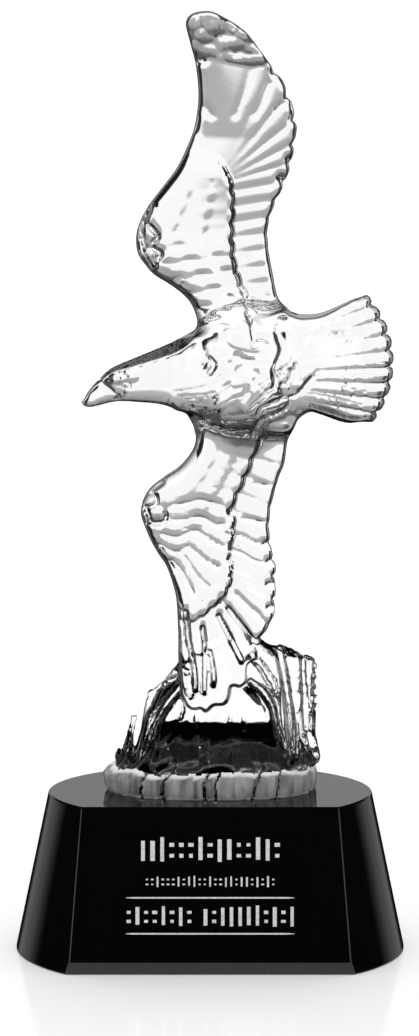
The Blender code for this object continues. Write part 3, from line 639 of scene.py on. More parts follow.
# Depth, half width and points of the cracks in front. The back has the same ones, turned about.
CRACKS = (
    (2.8, 1.8, ((-11.1, 45.5), (-14.8, 41), (-17.8, 34.9), (-19.8, 30.5), (-23.2, 21.4), (-25.4, 12))),
    (2.8, 1.8, ((-9.5, 35), (-15.3, 27.5), (-18.3, 20.9), (-22, 11))),
    (
        3.2, 2,
        ((18.7, 54.6), (17.2, 51.1), (22.2, 47), (24.2, 38.9), (25.2, 31.9), (26.1, 24.5), (27, 12)),
    ),
    (2.6, 1.7, ((13.3, 37.4), (17.3, 33.9), (20.2, 29), (21.7, 22.4), (24.7, 14.3))),
    (2, 1.2, ((30.2, 47), (30.4, 38.9), (31, 31.9), (31.4, 20))),
    (1.4, 1, ((10.8, 28.5), (11.3, 22))),
    (1.2, 0.9, ((-4.6, 26.5), (-4.4, 20))),
    (1.2, 1, ((-27, 24), (-29.5, 12))),
)


def rock_ring(x, y, z):
    """1 on the rock's smooth side and less inside it, the turn round it, its half width and depth."""
    table = np.array(ROCK)
    left = ROCK_X + FOOT_HALF_WIDTH * np.interp(z, table[:, 0], table[:, 1])
    right = ROCK_X + FOOT_HALF_WIDTH * np.interp(z, table[:, 0], table[:, 2])
    deep = FOOT_HALF_DEPTH * np.interp(z, table[:, 0], table[:, 3])
    wide = 0.5 * (right - left)
    u, v = (x - 0.5 * (left + right)) / wide, y / deep
    ring = (np.abs(u) ** ROCK_SQUARE + np.abs(v) ** ROCK_SQUARE) ** (1 / ROCK_SQUARE)
    return ring, np.arctan2(v, u), wide, deep


def rim_top(turn):
    """How high the ground rim reaches all round: an uneven line."""
    u, v = FOOT_HALF_WIDTH * np.cos(turn), FOOT_HALF_DEPTH * np.sin(turn)
    return RIM_HEIGHT + 0.9 * bumps(u, v, 4.6, 21) + 0.6 * bumps(u, v, 1.9, 22)


def rim_notches(turn, z):
    """The upright notches that break the rim into flutes, in units."""
    random = np.random.default_rng(RIM_SEED)
    across = np.hypot(FOOT_HALF_WIDTH * np.sin(turn), FOOT_HALF_DEPTH * np.cos(turn))
    cut = 0 * turn
    for n in range(RIM_NOTCHES):
        at = 2 * math.pi * (n + random.uniform(-0.25, 0.25)) / RIM_NOTCHES
        at = at + random.uniform(-0.01, 0.01) * (z - 4)
        away = np.abs(np.mod(turn - at + math.pi, 2 * math.pi) - math.pi) * across
        deep, half_width = 0.2 + 2.2 * random.uniform() ** 2, random.uniform(0.8, 1.5)
        cut = np.maximum(cut, deep * np.clip(1 - away / half_width, 0, 1))
    return cut


def rock_form(x, y, z):
    """The rock with its chips, cracks and rim. Its top leans forward into the wing."""
    y = y + ROCK_LEAN * np.maximum(z - LEAN_FROM, 0)
    ring, turn, wide, deep = rock_ring(x, y, z)
    random = np.random.default_rng(ROCK_SEED)
    chips = np.full(np.shape(ring), ROCK_BREAK)
    for n in range(ROCK_FACETS):
        middle = 4 * math.pi * (n + random.uniform(-0.35, 0.35)) / ROCK_FACETS
        height = random.uniform(*CHIP_HEIGHTS)
        tilt = random.uniform(-0.25, 0.25)
        slope = random.uniform(-0.004, 0.004)
        out = random.uniform(0, 0.06)
        away = turn - middle + 0.008 * (z - height) * np.cos(middle)
        away = np.mod(away + math.pi, 2 * math.pi) - math.pi
        dish = out + CHIP_ROUND * away**2 + tilt * away
        face = dish + slope * (z - height) + CHIP_TALL * (z - height) ** 2
        chips = np.minimum(chips, face)
    top = rim_top(turn)
    ring = ring + RIM_LEDGE * ramp(z, top - 0.4, top + 0.8)
    ring = ring + 1.4 * ramp(z, top, top + 3) * (0.045 - chips)
    flat_x, flat_z = x[:, :, 0], z[:, :, 0]
    front = lines_cut(CRACKS, flat_x, flat_z)[:, :, None]
    back = lines_cut(CRACKS, 2 * ROCK_X - flat_x, flat_z)[:, :, None]
    behind = ramp(y, -CRACK_SPAN, CRACK_SPAN)
    side = (ring - 1) * np.minimum(wide, deep) + front * (1 - behind) + 0.8 * back * behind
    side = side + rim_notches(turn, z) * (1 - ramp(z, top, top + 0.8))
    return np.maximum.reduce([side, -z, z - ROCK[-1][0]])


# %% [markdown]
# ## One casting
# The five forms are melted together on a grid of points. The body and the rock are only worked out in
# their own slice of the grid, which saves most of the time.

# %% Melt the forms together
EDGE_FILLET = 5.0  # where a wing's edge meets the body
FACE_FILLET = 13.0  # where its flat faces do
TAIL_FILLET = 3.0
ROCK_FILLET = 0.8
BODY_SPAN = (108, 170)  # the heights between which the body lies
ROCK_SPAN = 56  # the height below which the rock lies


def cast_field(x, y, z):
    """The whole casting on a grid. x, y and z are grids indexed by x, z and y."""
    flat_x, flat_z, heights = x[:, :, 0], z[:, :, 0], z[0, :, 0]
    forms = []
    for wing in (UPPER_WING, LOWER_WING):
        depth, half, relief, middle, rounding = (m[:, :, None] for m in wing_form(wing, flat_x, flat_z))
        off = y - middle
        carved = np.maximum(half + relief * np.where(off < 0, 1.0, BACK_SHARE), 0.5)
        fillet = EDGE_FILLET + (FACE_FILLET - EDGE_FILLET) * ramp(depth, 0, 14)
        forms.append((plate(depth, np.abs(off), carved, np.minimum(rounding * half, carved)), fillet))
    depth, half, relief = (m[:, :, None] for m in tail_form(flat_x, flat_z))
    carved = half + relief * np.where(y < 0, 1.0, BACK_SHARE)
    bird = plate(depth, np.abs(y), carved, np.minimum(TAIL_ROUNDING, carved))

    near = (heights > BODY_SPAN[0]) & (heights < BODY_SPAN[1])
    there = (x[:, near], y[:, near], z[:, near])
    body = np.full(np.shape(x), FAR)
    body[:, near] = carve_head(body_form(*there), *there)
    bird = melt(body, bird, TAIL_FILLET)
    for wing, fillet in forms:
        bird = melt(bird, wing, fillet)
    cut = lines_cut(BODY_LINES, flat_x, flat_z)[:, :, None]
    bird = bird + cut * np.where(y < 0, 1.0, BACK_SHARE)
    near = heights < ROCK_SPAN
    bird[:, near] = melt(bird[:, near], rock_form(x[:, near], y[:, near], z[:, near]), ROCK_FILLET)
    return bird


# %% [markdown]
# ## From the field to a skin
# Blender's metaballs find the skin of a field too, but only for their own balls and rods. The method
# here is known as surface nets: each cell of the grid that the skin crosses gets one point, at the
# middle of the crossings on its edges, and each crossed edge of the grid gets a face between its four
# cells. Cells in which the skin would touch itself are filled first, so the mesh is a clean shell.

# %% Surface nets
FILLED = -0.02  # the field at a corner that is filled


def pinched_codes():
    """Which of the 256 patterns of solid corners in a cell would make the skin touch itself."""
    pinched = np.zeros(256, bool)
    for code in range(256):
        for wanted in (0, 1):
            corners = [n for n in range(8) if (code >> n & 1) == wanted]
            reached = set(corners[:1])
            for _ in range(8):
                reached |= {c for c in corners for r in reached if (c ^ r) in (1, 2, 4)}
            pinched[code] |= len(reached) < len(corners)
    return pinched


def cell_codes(field):
    """The pattern of solid corners of each cell of the grid."""
    solid = (field < 0).astype(np.int16)
    nx, ny, nz = np.array(field.shape) - 1
    code = np.zeros((nx, ny, nz), np.int16)
    for n in range(8):
        i, j, k = n & 1, n >> 1 & 1, n >> 2 & 1
        code += solid[i : i + nx, j : j + ny, k : k + nz] << n
    return code


def fill_pinches(field):
    """Fills the nearest corner of each cell in which the skin would touch itself."""
    pinched = pinched_codes()
    corners = np.array([(n & 1, n >> 1 & 1, n >> 2 & 1) for n in range(8)])
    cells = np.argwhere(pinched[cell_codes(field)])
    while len(cells):
        around = cells[:, None, :] + corners[None]
        values = field[tuple(np.moveaxis(around, 2, 0))]
        nearest = np.argmin(np.where(values < 0, np.inf, values), axis=1)
        field[tuple(around[np.arange(len(cells)), nearest].T)] = FILLED
        cells = np.argwhere(pinched[cell_codes(field)])
    return field


def skin(field, origin, step):
    """The surface where the field crosses zero, as points and quads."""
    code = cell_codes(field)
    crossed = (code > 0) & (code < 255)
    number = np.full(crossed.shape, -1, np.int64)
    number[crossed] = np.arange(crossed.sum())
    total, hits, quads = np.zeros((int(crossed.sum()), 3)), np.zeros(int(crossed.sum())), []
    for axis in range(3):
        near = np.take(field, range(field.shape[axis] - 1), axis)
        far = np.take(field, range(1, field.shape[axis]), axis)
        flips = (near < 0) != (far < 0)
        where, low, high = np.argwhere(flips), near[flips], far[flips]
        point = where.astype(float)
        point[:, axis] += low / (low - high)
        u, v = [a for a in range(3) if a != axis]
        around = []
        for du, dv in ((-1, -1), (0, -1), (0, 0), (-1, 0)):
            cell = where.copy()
            cell[:, u] += du
            cell[:, v] += dv
            ids = number[tuple(cell.T)]
            np.add.at(total, ids, point)
            np.add.at(hits, ids, 1)
            around.append(ids)
        quad = np.stack(around, 1)
        turned = (low < 0) != (axis == 1)
        quad[~turned] = quad[~turned][:, ::-1]
        quads.append(quad)
    return origin + step * total / hits[:, None], np.vstack(quads)


# %% [markdown]
# The points of a net sit in little steps, which opaque paint would hide and glass would show as grain.
# A few rounds of smoothing take them out: one round moves each point towards the mean of its
# neighbours, and the next moves it back a little further, so that nothing shrinks.

# %% Smooth the net without shrinking it
SMOOTHING = (0.5, -0.52)  # the shares of the way to its neighbours' mean that a point goes, in turns


def fair(points, quads, rounds=5):
    edges = np.vstack([quads[:, [0, 1]], quads[:, [1, 2]], quads[:, [2, 3]], quads[:, [3, 0]]])
    count = np.bincount(edges[:, 0], minlength=len(points))[:, None]
    for n in range(2 * rounds):
        mean = np.zeros_like(points)
        for axis in range(3):
            mean[:, axis] = np.bincount(edges[:, 0], points[edges[:, 1], axis], len(points))
        move = mean / count - points
        points = points + SMOOTHING[n % 2] * move
    return points


# %% Make the casting's mesh
FINE = 0.62  # the grid's step along the mould's plane, in units
DEEP = 0.95  # and across it
GRID_LOW = (-44.0, -24.0)  # where the grid starts, in x and y
GRID_HIGH = (62.0, 24.0, 256.0)
FLOOR_SLOPE = 4  # how fast the field rises below the foot, so that no pinch is filled down there


def casting_net(step):
    """The casting's points, in units, and its quads."""
    axes = [np.arange(a, b, s) for a, b, s in zip((*GRID_LOW, -1.5 * step[2]), GRID_HIGH, step)]
    x, z, y = np.meshgrid(axes[0], axes[2], axes[1], indexing="ij")
    field = np.maximum(cast_field(x, y, z), -FLOOR_SLOPE * z)
    steps = np.array((step[0], step[2], step[1]))
    points, quads = skin(fill_pinches(field), np.array((axes[0][0], axes[2][0], axes[1][0])), steps)
    flat = points[:, 1] < 0.3
    points = fair(points, quads)
    points[flat, 1] = 0.0
    return points[:, [0, 2, 1]], quads[:, ::-1]


net_points, net_quads = casting_net((FINE, DEEP, FINE))
print("casting:", len(net_points), "points and", 2 * len(net_quads), "triangles")

# %% [markdown]
# ## The clear crystal
# Good clear glass is one Principled shader with full transmission. The look of pressed glass is in
# its surface, which keeps a faint orange-peel waviness from the mould, so a noise drives a weak bump.
# Where the surface turns away from the eye, its tint is painted down to black, a painted shade that
# draws the glass's dark edges. All the optical values are plain numbers on the shader's own sockets.

# %% Helpers for materials
def feed(tree, socket, value):
    """Links the socket to a node's output, or gives it a plain value."""
    if isinstance(value, bpy.types.NodeSocket):
        tree.links.new(value, socket)
    else:
        socket.default_value = value


def add_node(tree, kind, inputs, **settings):
    """A node with its settings and with its inputs, by name or number, fed."""
    node = tree.nodes.new(kind)
    for name, value in settings.items():
        setattr(node, name, value)
    for key, value in inputs.items():
        feed(tree, node.inputs[key], value)
    return node


def new_material(name, plain_values):
    """A material, its node tree and its Principled shader, which gets the plain values."""
    made = bpy.data.materials.new(name)
    made.use_nodes = True
    shader = made.node_tree.nodes["Principled BSDF"]
    for key, value in plain_values.items():
        shader.inputs[key].default_value = value
    return made, made.node_tree, shader


def noise_at(tree, scale, detail=3.0):
    """Noise on the object's own coordinates."""
    place = tree.nodes.new("ShaderNodeTexCoord").outputs["Object"]
    values = {"Vector": place, "Scale": scale, "Detail": detail}
    return add_node(tree, "ShaderNodeTexNoise", values).outputs["Fac"]


def spread(tree, value, low, high):
    """The value's 0.3 to 0.7 mapped to low to high."""
    ends = {"Value": value, "From Min": 0.3, "From Max": 0.7, "To Min": low, "To Max": high}
    return add_node(tree, "ShaderNodeMapRange", ends).outputs["Result"]


def grey(tree, value):
    """The value as a colour."""
    return add_node(tree, "ShaderNodeCombineColor", {n: value for n in range(3)}).outputs["Color"]


def grey_ramp(tree, value, stops):
    """A grey that goes by the value: each stop is a place from 0 to 1 and how bright it is there."""
    node = add_node(tree, "ShaderNodeValToRGB", {"Fac": value})
    elements = node.color_ramp.elements
    for element, (place, shade) in zip((elements[0], elements[1]), (stops[0], stops[-1])):
        element.position = place
        element.color = (shade, shade, shade, 1)
    for place, shade in stops[1:-1]:
        elements.new(place).color = (shade, shade, shade, 1)
    return node.outputs["Color"]


def add_bump(tree, shader, height, strength, distance):
    values = {"Height": height, "Strength": strength, "Distance": distance}
    feed(tree, shader.inputs["Normal"], add_node(tree, "ShaderNodeBump", values).outputs["Normal"])


def add_roughness(tree, shader, scale, low, high):
    """Roughness that drifts from low to high."""
    feed(tree, shader.inputs["Roughness"], spread(tree, noise_at(tree, scale), low, high))


# %% Clear crystal, cement and ground glass
# The tint's painted shade at the edges, by how far the surface turns away: 0 is square on, 1 is edge on.
PAINTED_EDGE_SHADE = ((0.0, 1.0), (0.26, 1.0), (0.38, 0.4), (0.50, 0.05), (0.62, 0.003), (1.0, 0.001))
# where the ground glass gets a painted highlight: its edges are painted near white
RIM_HIGHLIGHT_ATTRIBUTE = "rim_edge_highlight"  # 1 along the rim's top and bottom edges, and 0 elsewhere
GLASS_IOR = 1.5


def clear_crystal():
    plain_values = {"Transmission Weight": 1.0, "Roughness": 0.0, "IOR": GLASS_IOR}
    made, tree, shader = new_material("clear crystal", plain_values)
    facing = add_node(tree, "ShaderNodeLayerWeight", {"Blend": 0.5}).outputs["Facing"]
    # painted shade: the tint falls to black where the surface turns away from the eye
    feed(tree, shader.inputs["Base Color"], grey_ramp(tree, facing, PAINTED_EDGE_SHADE))
    add_bump(tree, shader, noise_at(tree, 140, 2.0), 0.05, 0.0006)
    return made


def black_cement():
    plain_values = {"Base Color": (0.004, 0.004, 0.004, 1), "Specular IOR Level": 0.0}
    made, tree, shader = new_material("black cement", plain_values)
    add_roughness(tree, shader, 300, 0.7, 1.0)
    return made


def ground_glass():
    """The rim was ground on a wheel and half polished, in upright streaks, with a painted highlight at its
    edges.
    """
    made, tree, shader = new_material("ground glass", {"Transmission Weight": 0.35, "IOR": GLASS_IOR})
    place = tree.nodes.new("ShaderNodeTexCoord").outputs["Object"]
    upright = add_node(tree, "ShaderNodeVectorMath", {0: place, 1: (1.0, 1.0, 0.15)}, operation="MULTIPLY")
    values = {"Vector": upright.outputs["Vector"], "Scale": 330.0, "Detail": 4.0}
    streaks = add_node(tree, "ShaderNodeTexNoise", values).outputs["Fac"]
    edge = add_node(tree, "ShaderNodeAttribute", {}, attribute_name=RIM_HIGHLIGHT_ATTRIBUTE).outputs["Fac"]
    # painted highlight: the rim's top and bottom edges are painted near white
    values = {0: edge, 2: spread(tree, streaks, 0.08, 0.5), 3: 0.95}
    shade = add_node(tree, "ShaderNodeMix", values, data_type="FLOAT").outputs[0]
    feed(tree, shader.inputs["Base Color"], grey(tree, shade))
    add_roughness(tree, shader, 300, 0.2, 0.4)
    add_bump(tree, shader, streaks, 0.3, 0.0004)
    return made


# %% [markdown]
# ## Setting the casting on the plinth
# The foot is cemented over most of its area. The cement is black, so looking down through the rock one
# sees black. Only a narrow border was left clear, and it gathers light. The cemented faces and the
# ground rim get material slots of their own.

# %% Make the casting
CEMENT_INSET = (0.84, 0.70)  # the cemented part of the foot, as shares of its width and depth
CONTACT = 0.00002
FRONT_MARGIN = 0.0078  # from the top edge of the plinth's front to the foot
FOOT_Y = OVAL_Y - FLAT_AT_TOP + FRONT_MARGIN + FOOT_HALF_DEPTH * UNIT


def make_casting():
    mesh = bpy.data.meshes.new("eagle_casting")
    points = net_points * UNIT
    points[:, 1] += FOOT_Y
    points[:, 2] += plinth_high.z + CONTACT
    mesh.from_pydata(points.tolist(), [], net_quads.tolist())
    for finish in (clear_crystal(), black_cement(), ground_glass()):
        mesh.materials.append(finish)
    middles = net_points[net_quads].mean(axis=1)
    underside = net_points[net_quads][:, :, 2].max(axis=1) < 0.05
    u = (middles[:, 0] - ROCK_X) / (FOOT_HALF_WIDTH * CEMENT_INSET[0])
    v = middles[:, 1] / (FOOT_HALF_DEPTH * CEMENT_INSET[1])
    cemented = underside & ((np.abs(u) ** ROCK_SQUARE + np.abs(v) ** ROCK_SQUARE) < 1)
    turn = rock_ring(middles[:, 0], middles[:, 1], middles[:, 2])[1]
    rim = ~underside & (middles[:, 2] < rim_top(turn) + 0.5) & (rim_notches(turn, middles[:, 2]) < 0.9)
    mesh.polygons.foreach_set("material_index", (cemented + 2 * rim).astype(np.int32))
    across, along, up = net_points.T
    top = rim_top(rock_ring(across, along, up)[1])
    # the rim's top and bottom edges, where the ground glass is painted near white as a painted highlight
    edge = np.maximum(ramp(up, top - 1.1, top - 0.1), 1 - ramp(up, 0.2, 0.9))
    mesh.attributes.new(RIM_HIGHLIGHT_ATTRIBUTE, "FLOAT", "POINT").data.foreach_set("value", edge)
    mesh.update()
    mesh.shade_smooth()
    return show("eagle_casting", mesh)


casting = make_casting()
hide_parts("eagle")
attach(casting, "root")
print("foot at y", round(1000 * FOOT_Y, 2), "mm")

# %% [markdown]
# ## The plinth
# The plinth is an oval block, wider at the foot than at the top, with a flat front ground at a lean and
# an upright band ground along the front's lower edge. It could be lofted and cut with a boolean. Here
# two ovals are joined and two planes cut them, as the grinding wheel does, and the arrises are then
# broken with a narrow bevel, which catches the light as a thin grey line.

# %% The plinth's block
OVAL_STEPS = 240
ARRIS = 0.0006  # how wide the broken arrises are


def cut_by_plane(shape, point, normal):
    """Cuts away what lies on the side of the plane that its normal points to, and closes the cut."""
    geometry = shape.verts[:] + shape.edges[:] + shape.faces[:]
    cut = bmesh.ops.bisect_plane(
        shape, geom=geometry, dist=1e-7, plane_co=point, plane_no=normal, clear_outer=True
    )
    edges = [e for e in cut["geom_cut"] if isinstance(e, bmesh.types.BMEdge)]
    bmesh.ops.edgeloop_fill(shape, edges=edges)


def mesh_of(shape, name):
    """The bmesh as a mesh of this name."""
    mesh = bpy.data.meshes.new(name)
    shape.to_mesh(mesh)
    shape.free()
    return mesh


def plinth_block():
    shape = bmesh.new()
    rings = []
    for height, grow in ((0.0, TAPER), (PLINTH_HEIGHT, 0.0)):
        ring = []
        for n in range(OVAL_STEPS):
            t = 2 * math.pi * n / OVAL_STEPS
            x, y = (TOP_HALF_WIDTH + grow) * math.cos(t), (TOP_HALF_DEPTH + grow) * math.sin(t)
            ring.append(shape.verts.new((x, OVAL_Y + y, height)))
        rings.append(ring)
    shape.faces.new(rings[0][::-1])
    shape.faces.new(rings[1])
    for n in range(OVAL_STEPS):
        m = (n + 1) % OVAL_STEPS
        shape.faces.new((rings[0][n], rings[0][m], rings[1][m], rings[1][n]))
    band_front = OVAL_Y - FLAT_AT_TOP - FRONT_LEAN
    cut_by_plane(shape, (0, band_front, BAND_HEIGHT), (0, -math.cos(LEAN), math.sin(LEAN)))
    cut_by_plane(shape, (0, band_front, 0), (0, -1, 0))
    bmesh.ops.recalc_face_normals(shape, faces=shape.faces)
    return mesh_of(shape, "crystal_plinth")


# %% [markdown]
# Black crystal is glass that is coloured all through, so its shader is nearly black with a glass
# surface on top. It is polished by hand: the roughness drifts a little, and a very weak bump keeps
# the reflections from being ruler straight.

# %% Black crystal
def black_crystal():
    plain_values = {"Base Color": (0.0012, 0.0012, 0.0014, 1), "IOR": GLASS_IOR}
    made, tree, shader = new_material("black crystal", plain_values)
    add_roughness(tree, shader, 45, 0.015, 0.05)
    add_bump(tree, shader, noise_at(tree, 90, 1.0), 0.02, 0.0002)
    return made


def make_plinth():
    mesh = plinth_block()
    mesh.materials.append(black_crystal())
    mesh.shade_smooth()
    made = show("crystal_plinth", mesh)
    arris = made.modifiers.new("broken arrises", "BEVEL")
    arris.width = ARRIS
    arris.segments = 3
    arris.limit_method = "ANGLE"
    arris.angle_limit = math.radians(8)
    arris.harden_normals = True
    return made


plinth = make_plinth()
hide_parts("plinth")
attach(plinth, "root")
print("plinth front leans back", round(math.degrees(LEAN), 1), "degrees")

# %% [markdown]
# ## The inscription
# The front carries sandblasted rows between two ruled lines. They are frosted strokes that stand for
# wording and are no letters. Strokes repeat along a row, so a Geometry Nodes tree lays them: a line of
# points, and at each either an upright bar or a stack of short dashes, each a little different by a
# fixed seed. The same tree makes every row from its own sizes.

# %% A Geometry Nodes tree for one row of strokes
STROKE_INPUTS = dict(Strokes=10, Pitch=0.004, Height=0.008, Thickness=0.001, Depth=0.0004, Seed=3)
BAR_CHANCE = 0.55  # how often a stroke is a bar and not a stack of dashes
DASH_LEVELS = (-0.24, 0.2)  # where the dashes of a stack lie, as shares of the row's height
DASH_LENGTH = 0.6  # as a share of the pitch
BAR_LIFT = 0.06  # how far a bar may stand above or below the middle, as a share of the height


def build_stroke_tree(finish):
    tree = bpy.data.node_groups.new("row of strokes", "GeometryNodeTree")
    tree.interface.new_socket(name="Geometry", in_out="OUTPUT", socket_type="NodeSocketGeometry")
    for name, value in STROKE_INPUTS.items():
        kind = "NodeSocketInt" if isinstance(value, int) else "NodeSocketFloat"
        tree.interface.new_socket(name=name, in_out="INPUT", socket_type=kind).default_value = value
    given = tree.nodes.new("NodeGroupInput").outputs
    pitch, high, thick, deep = (given[name] for name in ("Pitch", "Height", "Thickness", "Depth"))

    def value_of(operation, a, b):
        return add_node(tree, "ShaderNodeMath", {0: a, 1: b}, operation=operation).outputs[0]

    def vector_of(x, y, z):
        return add_node(tree, "ShaderNodeCombineXYZ", {0: x, 1: y, 2: z}).outputs[0]

    def random_vector(ends, extra):
        inputs = {0: ends[0], 1: ends[1], "Seed": value_of("ADD", given["Seed"], extra)}
        return add_node(tree, "FunctionNodeRandomValue", inputs, data_type="FLOAT_VECTOR").outputs[0]

    start = value_of("MULTIPLY", value_of("SUBTRACT", given["Strokes"], 1), -0.5)
    line = add_node(tree, "GeometryNodeMeshLine", {
        "Count": given["Strokes"],
        "Start Location": vector_of(value_of("MULTIPLY", start, pitch), 0, 0),
        "Offset": vector_of(pitch, 0, 0),
    }).outputs["Mesh"]

    def lay(size, scales, shifts, extra, chosen):
        """A block of this size on each chosen point of the line, between the two scales and shifts."""
        inputs = {"Geometry": line, "Offset": random_vector(shifts, extra)}
        moved = add_node(tree, "GeometryNodeSetPosition", inputs).outputs["Geometry"]
        return add_node(tree, "GeometryNodeInstanceOnPoints", {
            "Points": moved,
            "Instance": add_node(tree, "GeometryNodeMeshCube", {"Size": size}).outputs["Mesh"],
            "Scale": random_vector(scales, extra + 1),
            "Selection": chosen,
        }).outputs["Instances"]

    inputs = {"Probability": BAR_CHANCE, "Seed": given["Seed"]}
    is_bar = add_node(tree, "FunctionNodeRandomValue", inputs, data_type="BOOLEAN").outputs[3]
    is_stack = add_node(tree, "FunctionNodeBooleanMath", {0: is_bar}, operation="NOT").outputs[0]
    lift = value_of("MULTIPLY", high, BAR_LIFT)
    shifts = (vector_of(0, 0, value_of("MULTIPLY", lift, -1)), vector_of(0, 0, lift))
    scales = (vector_of(0.9, 1, 0.8), vector_of(1.15, 1, 1.0))
    laid = [lay(vector_of(thick, deep, high), scales, shifts, 0, is_bar)]
    dash = vector_of(value_of("MULTIPLY", pitch, DASH_LENGTH), deep, thick)
    for n, level in enumerate(DASH_LEVELS):
        at = vector_of(0, 0, value_of("MULTIPLY", high, level))
        scales = (vector_of(0.6, 1, 0.8), vector_of(1, 1, 1))
        laid.append(lay(dash, scales, (at, at), 20 + 5 * n, is_stack))
    joined = tree.nodes.new("GeometryNodeJoinGeometry")
    for instances in laid:
        tree.links.new(instances, joined.inputs["Geometry"])
    real = add_node(tree, "GeometryNodeRealizeInstances", {"Geometry": joined.outputs["Geometry"]})
    inputs = {"Geometry": real.outputs["Geometry"], "Material": finish}
    coat = add_node(tree, "GeometryNodeSetMaterial", inputs)
    add_node(tree, "NodeGroupOutput", {"Geometry": coat.outputs["Geometry"]})
    return tree


# %% [markdown]
# Sandblasting leaves the strokes pale, matt and slightly grainy. Noise drives their grey, their
# roughness and a very fine bump.

# %% Sandblasted glass
def sandblasted():
    made, tree, shader = new_material("sandblasted strokes", {})
    shade = spread(tree, noise_at(tree, 900, 2.0), 0.42, 0.62)
    feed(tree, shader.inputs["Base Color"], grey(tree, shade))
    add_roughness(tree, shader, 1500, 0.6, 0.85)
    add_bump(tree, shader, noise_at(tree, 2500), 0.3, 0.00005)
    return made


# %% Lay the rows on the leaning front
# Each row: its middle's distance down the face, its middle across, and the tree's sizes.
ROWS = (
    (0.0137, 0.0000, dict(Strokes=15, Pitch=0.0031, Height=0.0080, Thickness=0.0013, Seed=4)),
    (0.0240, 0.0000, dict(Strokes=25, Pitch=0.0017, Height=0.0036, Thickness=0.00055, Seed=9)),
    (0.0352, -0.0165, dict(Strokes=8, Pitch=0.0028, Height=0.0066, Thickness=0.0011, Seed=15)),
    (0.0352, 0.0125, dict(Strokes=11, Pitch=0.0028, Height=0.0066, Thickness=0.0011, Seed=21)),
)
RULES = (0.0292, 0.0408)
RULE_LENGTH = 0.0545
RULE_THICKNESS = 0.0005
RULE_TAPER = 0.002  # how much of each end is tapered
STROKE_DEPTH = 0.0004
PROUD = 0.00003  # how far the strokes stand out of the face, so that they are seen


def face_place(down, across=0.0):
    """Where a point of the front's drawing lies: X along the face, -Y out of it, Z up it."""
    top = Vector((across, OVAL_Y - FLAT_AT_TOP, PLINTH_HEIGHT))
    along = Vector((0, -math.sin(LEAN), -math.cos(LEAN)))
    inward = Vector((0, math.cos(LEAN), -math.sin(LEAN)))
    at = top + along * down + inward * (0.5 * STROKE_DEPTH - PROUD)
    return Matrix.Translation(at) @ Matrix.Rotation(-LEAN, 4, "X")


def set_input(modifier, name, value):
    for item in modifier.node_group.interface.items_tree:
        if item.item_type == "SOCKET" and item.in_out == "INPUT" and item.name == name:
            modifier[item.identifier] = value


def lay_row(tree, down, across, sizes):
    """One row of strokes as a plain mesh, on the face."""
    holder = show("row", bpy.data.meshes.new("row"))
    modifier = holder.modifiers.new("strokes", "NODES")
    modifier.node_group = tree
    for name, value in (*sizes.items(), ("Depth", STROKE_DEPTH)):
        set_input(modifier, name, value)
    bpy.context.view_layer.update()
    graph = bpy.context.evaluated_depsgraph_get()
    mesh = bpy.data.meshes.new_from_object(holder.evaluated_get(graph))
    bpy.data.objects.remove(holder)
    mesh.transform(face_place(down, across))
    return mesh


def rule_mesh(down, finish):
    """A ruled line with tapered ends."""
    shape = bmesh.new()
    half, thick, deep = 0.5 * RULE_LENGTH, 0.5 * RULE_THICKNESS, 0.5 * STROKE_DEPTH
    rings = []
    full = half - RULE_TAPER
    for x, share in ((-half, 0.3), (-full, 1.0), (full, 1.0), (half, 0.3)):
        corners = ((-deep, -thick), (deep, -thick), (deep, thick), (-deep, thick))
        rings.append([shape.verts.new((x, y, z * share)) for y, z in corners])
    for a, b in zip(rings[:-1], rings[1:]):
        for n in range(4):
            shape.faces.new((a[n], a[(n + 1) % 4], b[(n + 1) % 4], b[n]))
    shape.faces.new(rings[0][::-1])
    shape.faces.new(rings[-1])
    bmesh.ops.recalc_face_normals(shape, faces=shape.faces)
    mesh = mesh_of(shape, "rule")
    mesh.materials.append(finish)
    mesh.transform(face_place(down))
    return mesh


def make_inscription():
    finish = sandblasted()
    tree = build_stroke_tree(finish)
    parts = [lay_row(tree, *row) for row in ROWS]
    parts += [rule_mesh(down, finish) for down in RULES]
    shape = bmesh.new()
    for mesh in parts:
        shape.from_mesh(mesh)
        bpy.data.meshes.remove(mesh)
    mesh = mesh_of(shape, "inscription")
    mesh.materials.append(finish)
    return show("inscription", mesh)


inscription = make_inscription()
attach(inscription, "root")
print("inscription:", len(inscription.data.polygons), "faces")

# %% [markdown]
# ## The table
# Clear glass is lit from behind and below: a white table and bright walls shine through the glass, and
# a dark ceiling and dark gaps draw its edges and creases in black, with the painted shade of its tint.
# The table is a plain pale disc. It doesn't show in the plinth's reflections, and what the camera sees
# past it is plain white.

# %% The table
TABLE_RADIUS = 0.45
TABLE_STEPS = 96
TABLE_BELOW = 0.0001  # how far the table lies below the plinth, so that their faces don't coincide


def table_white():
    made, tree, shader = new_material("white table", {"Base Color": (0.8, 0.8, 0.8, 1), "IOR": 1.45})
    add_roughness(tree, shader, 12, 0.1, 0.15)
    return made


def make_table():
    shape = bmesh.new()
    rim = []
    for n in range(TABLE_STEPS):
        t = 2 * math.pi * n / TABLE_STEPS
        x, y = TABLE_RADIUS * math.cos(t), TABLE_RADIUS * math.sin(t)
        rim.append(shape.verts.new((x, y, -TABLE_BELOW)))
    shape.faces.new(rim)
    mesh = mesh_of(shape, "table")
    mesh.materials.append(table_white())
    return show("table", mesh)


table = make_table()
table.visible_glossy = False

# %% [markdown]
# ## The walls
# The world stands for the walls. Seen through the glass they are bright panels, set at every eighth of
# a turn, with dark gaps between, and they fade from bright below the table's level to dark above it.
# The panels shine through wherever the glass is nearly flat, and the gaps, with the painted shade in the
# crystal's tint, draw its edges and ridges.
# Reflections see another room: dark in front with a narrow strip of light on each side of the camera,
# and a bright wall behind. Renderers keep such rays apart, where a photographer would use black cards.

# %% The walls
WIDE_PANEL = (17.0, 21.0)  # degrees from a panel's middle to where it starts and ends to fade
NARROW_PANEL = (9.0, 13.0)
PANEL_STEP = 45.0  # degrees from one panel's middle to the next
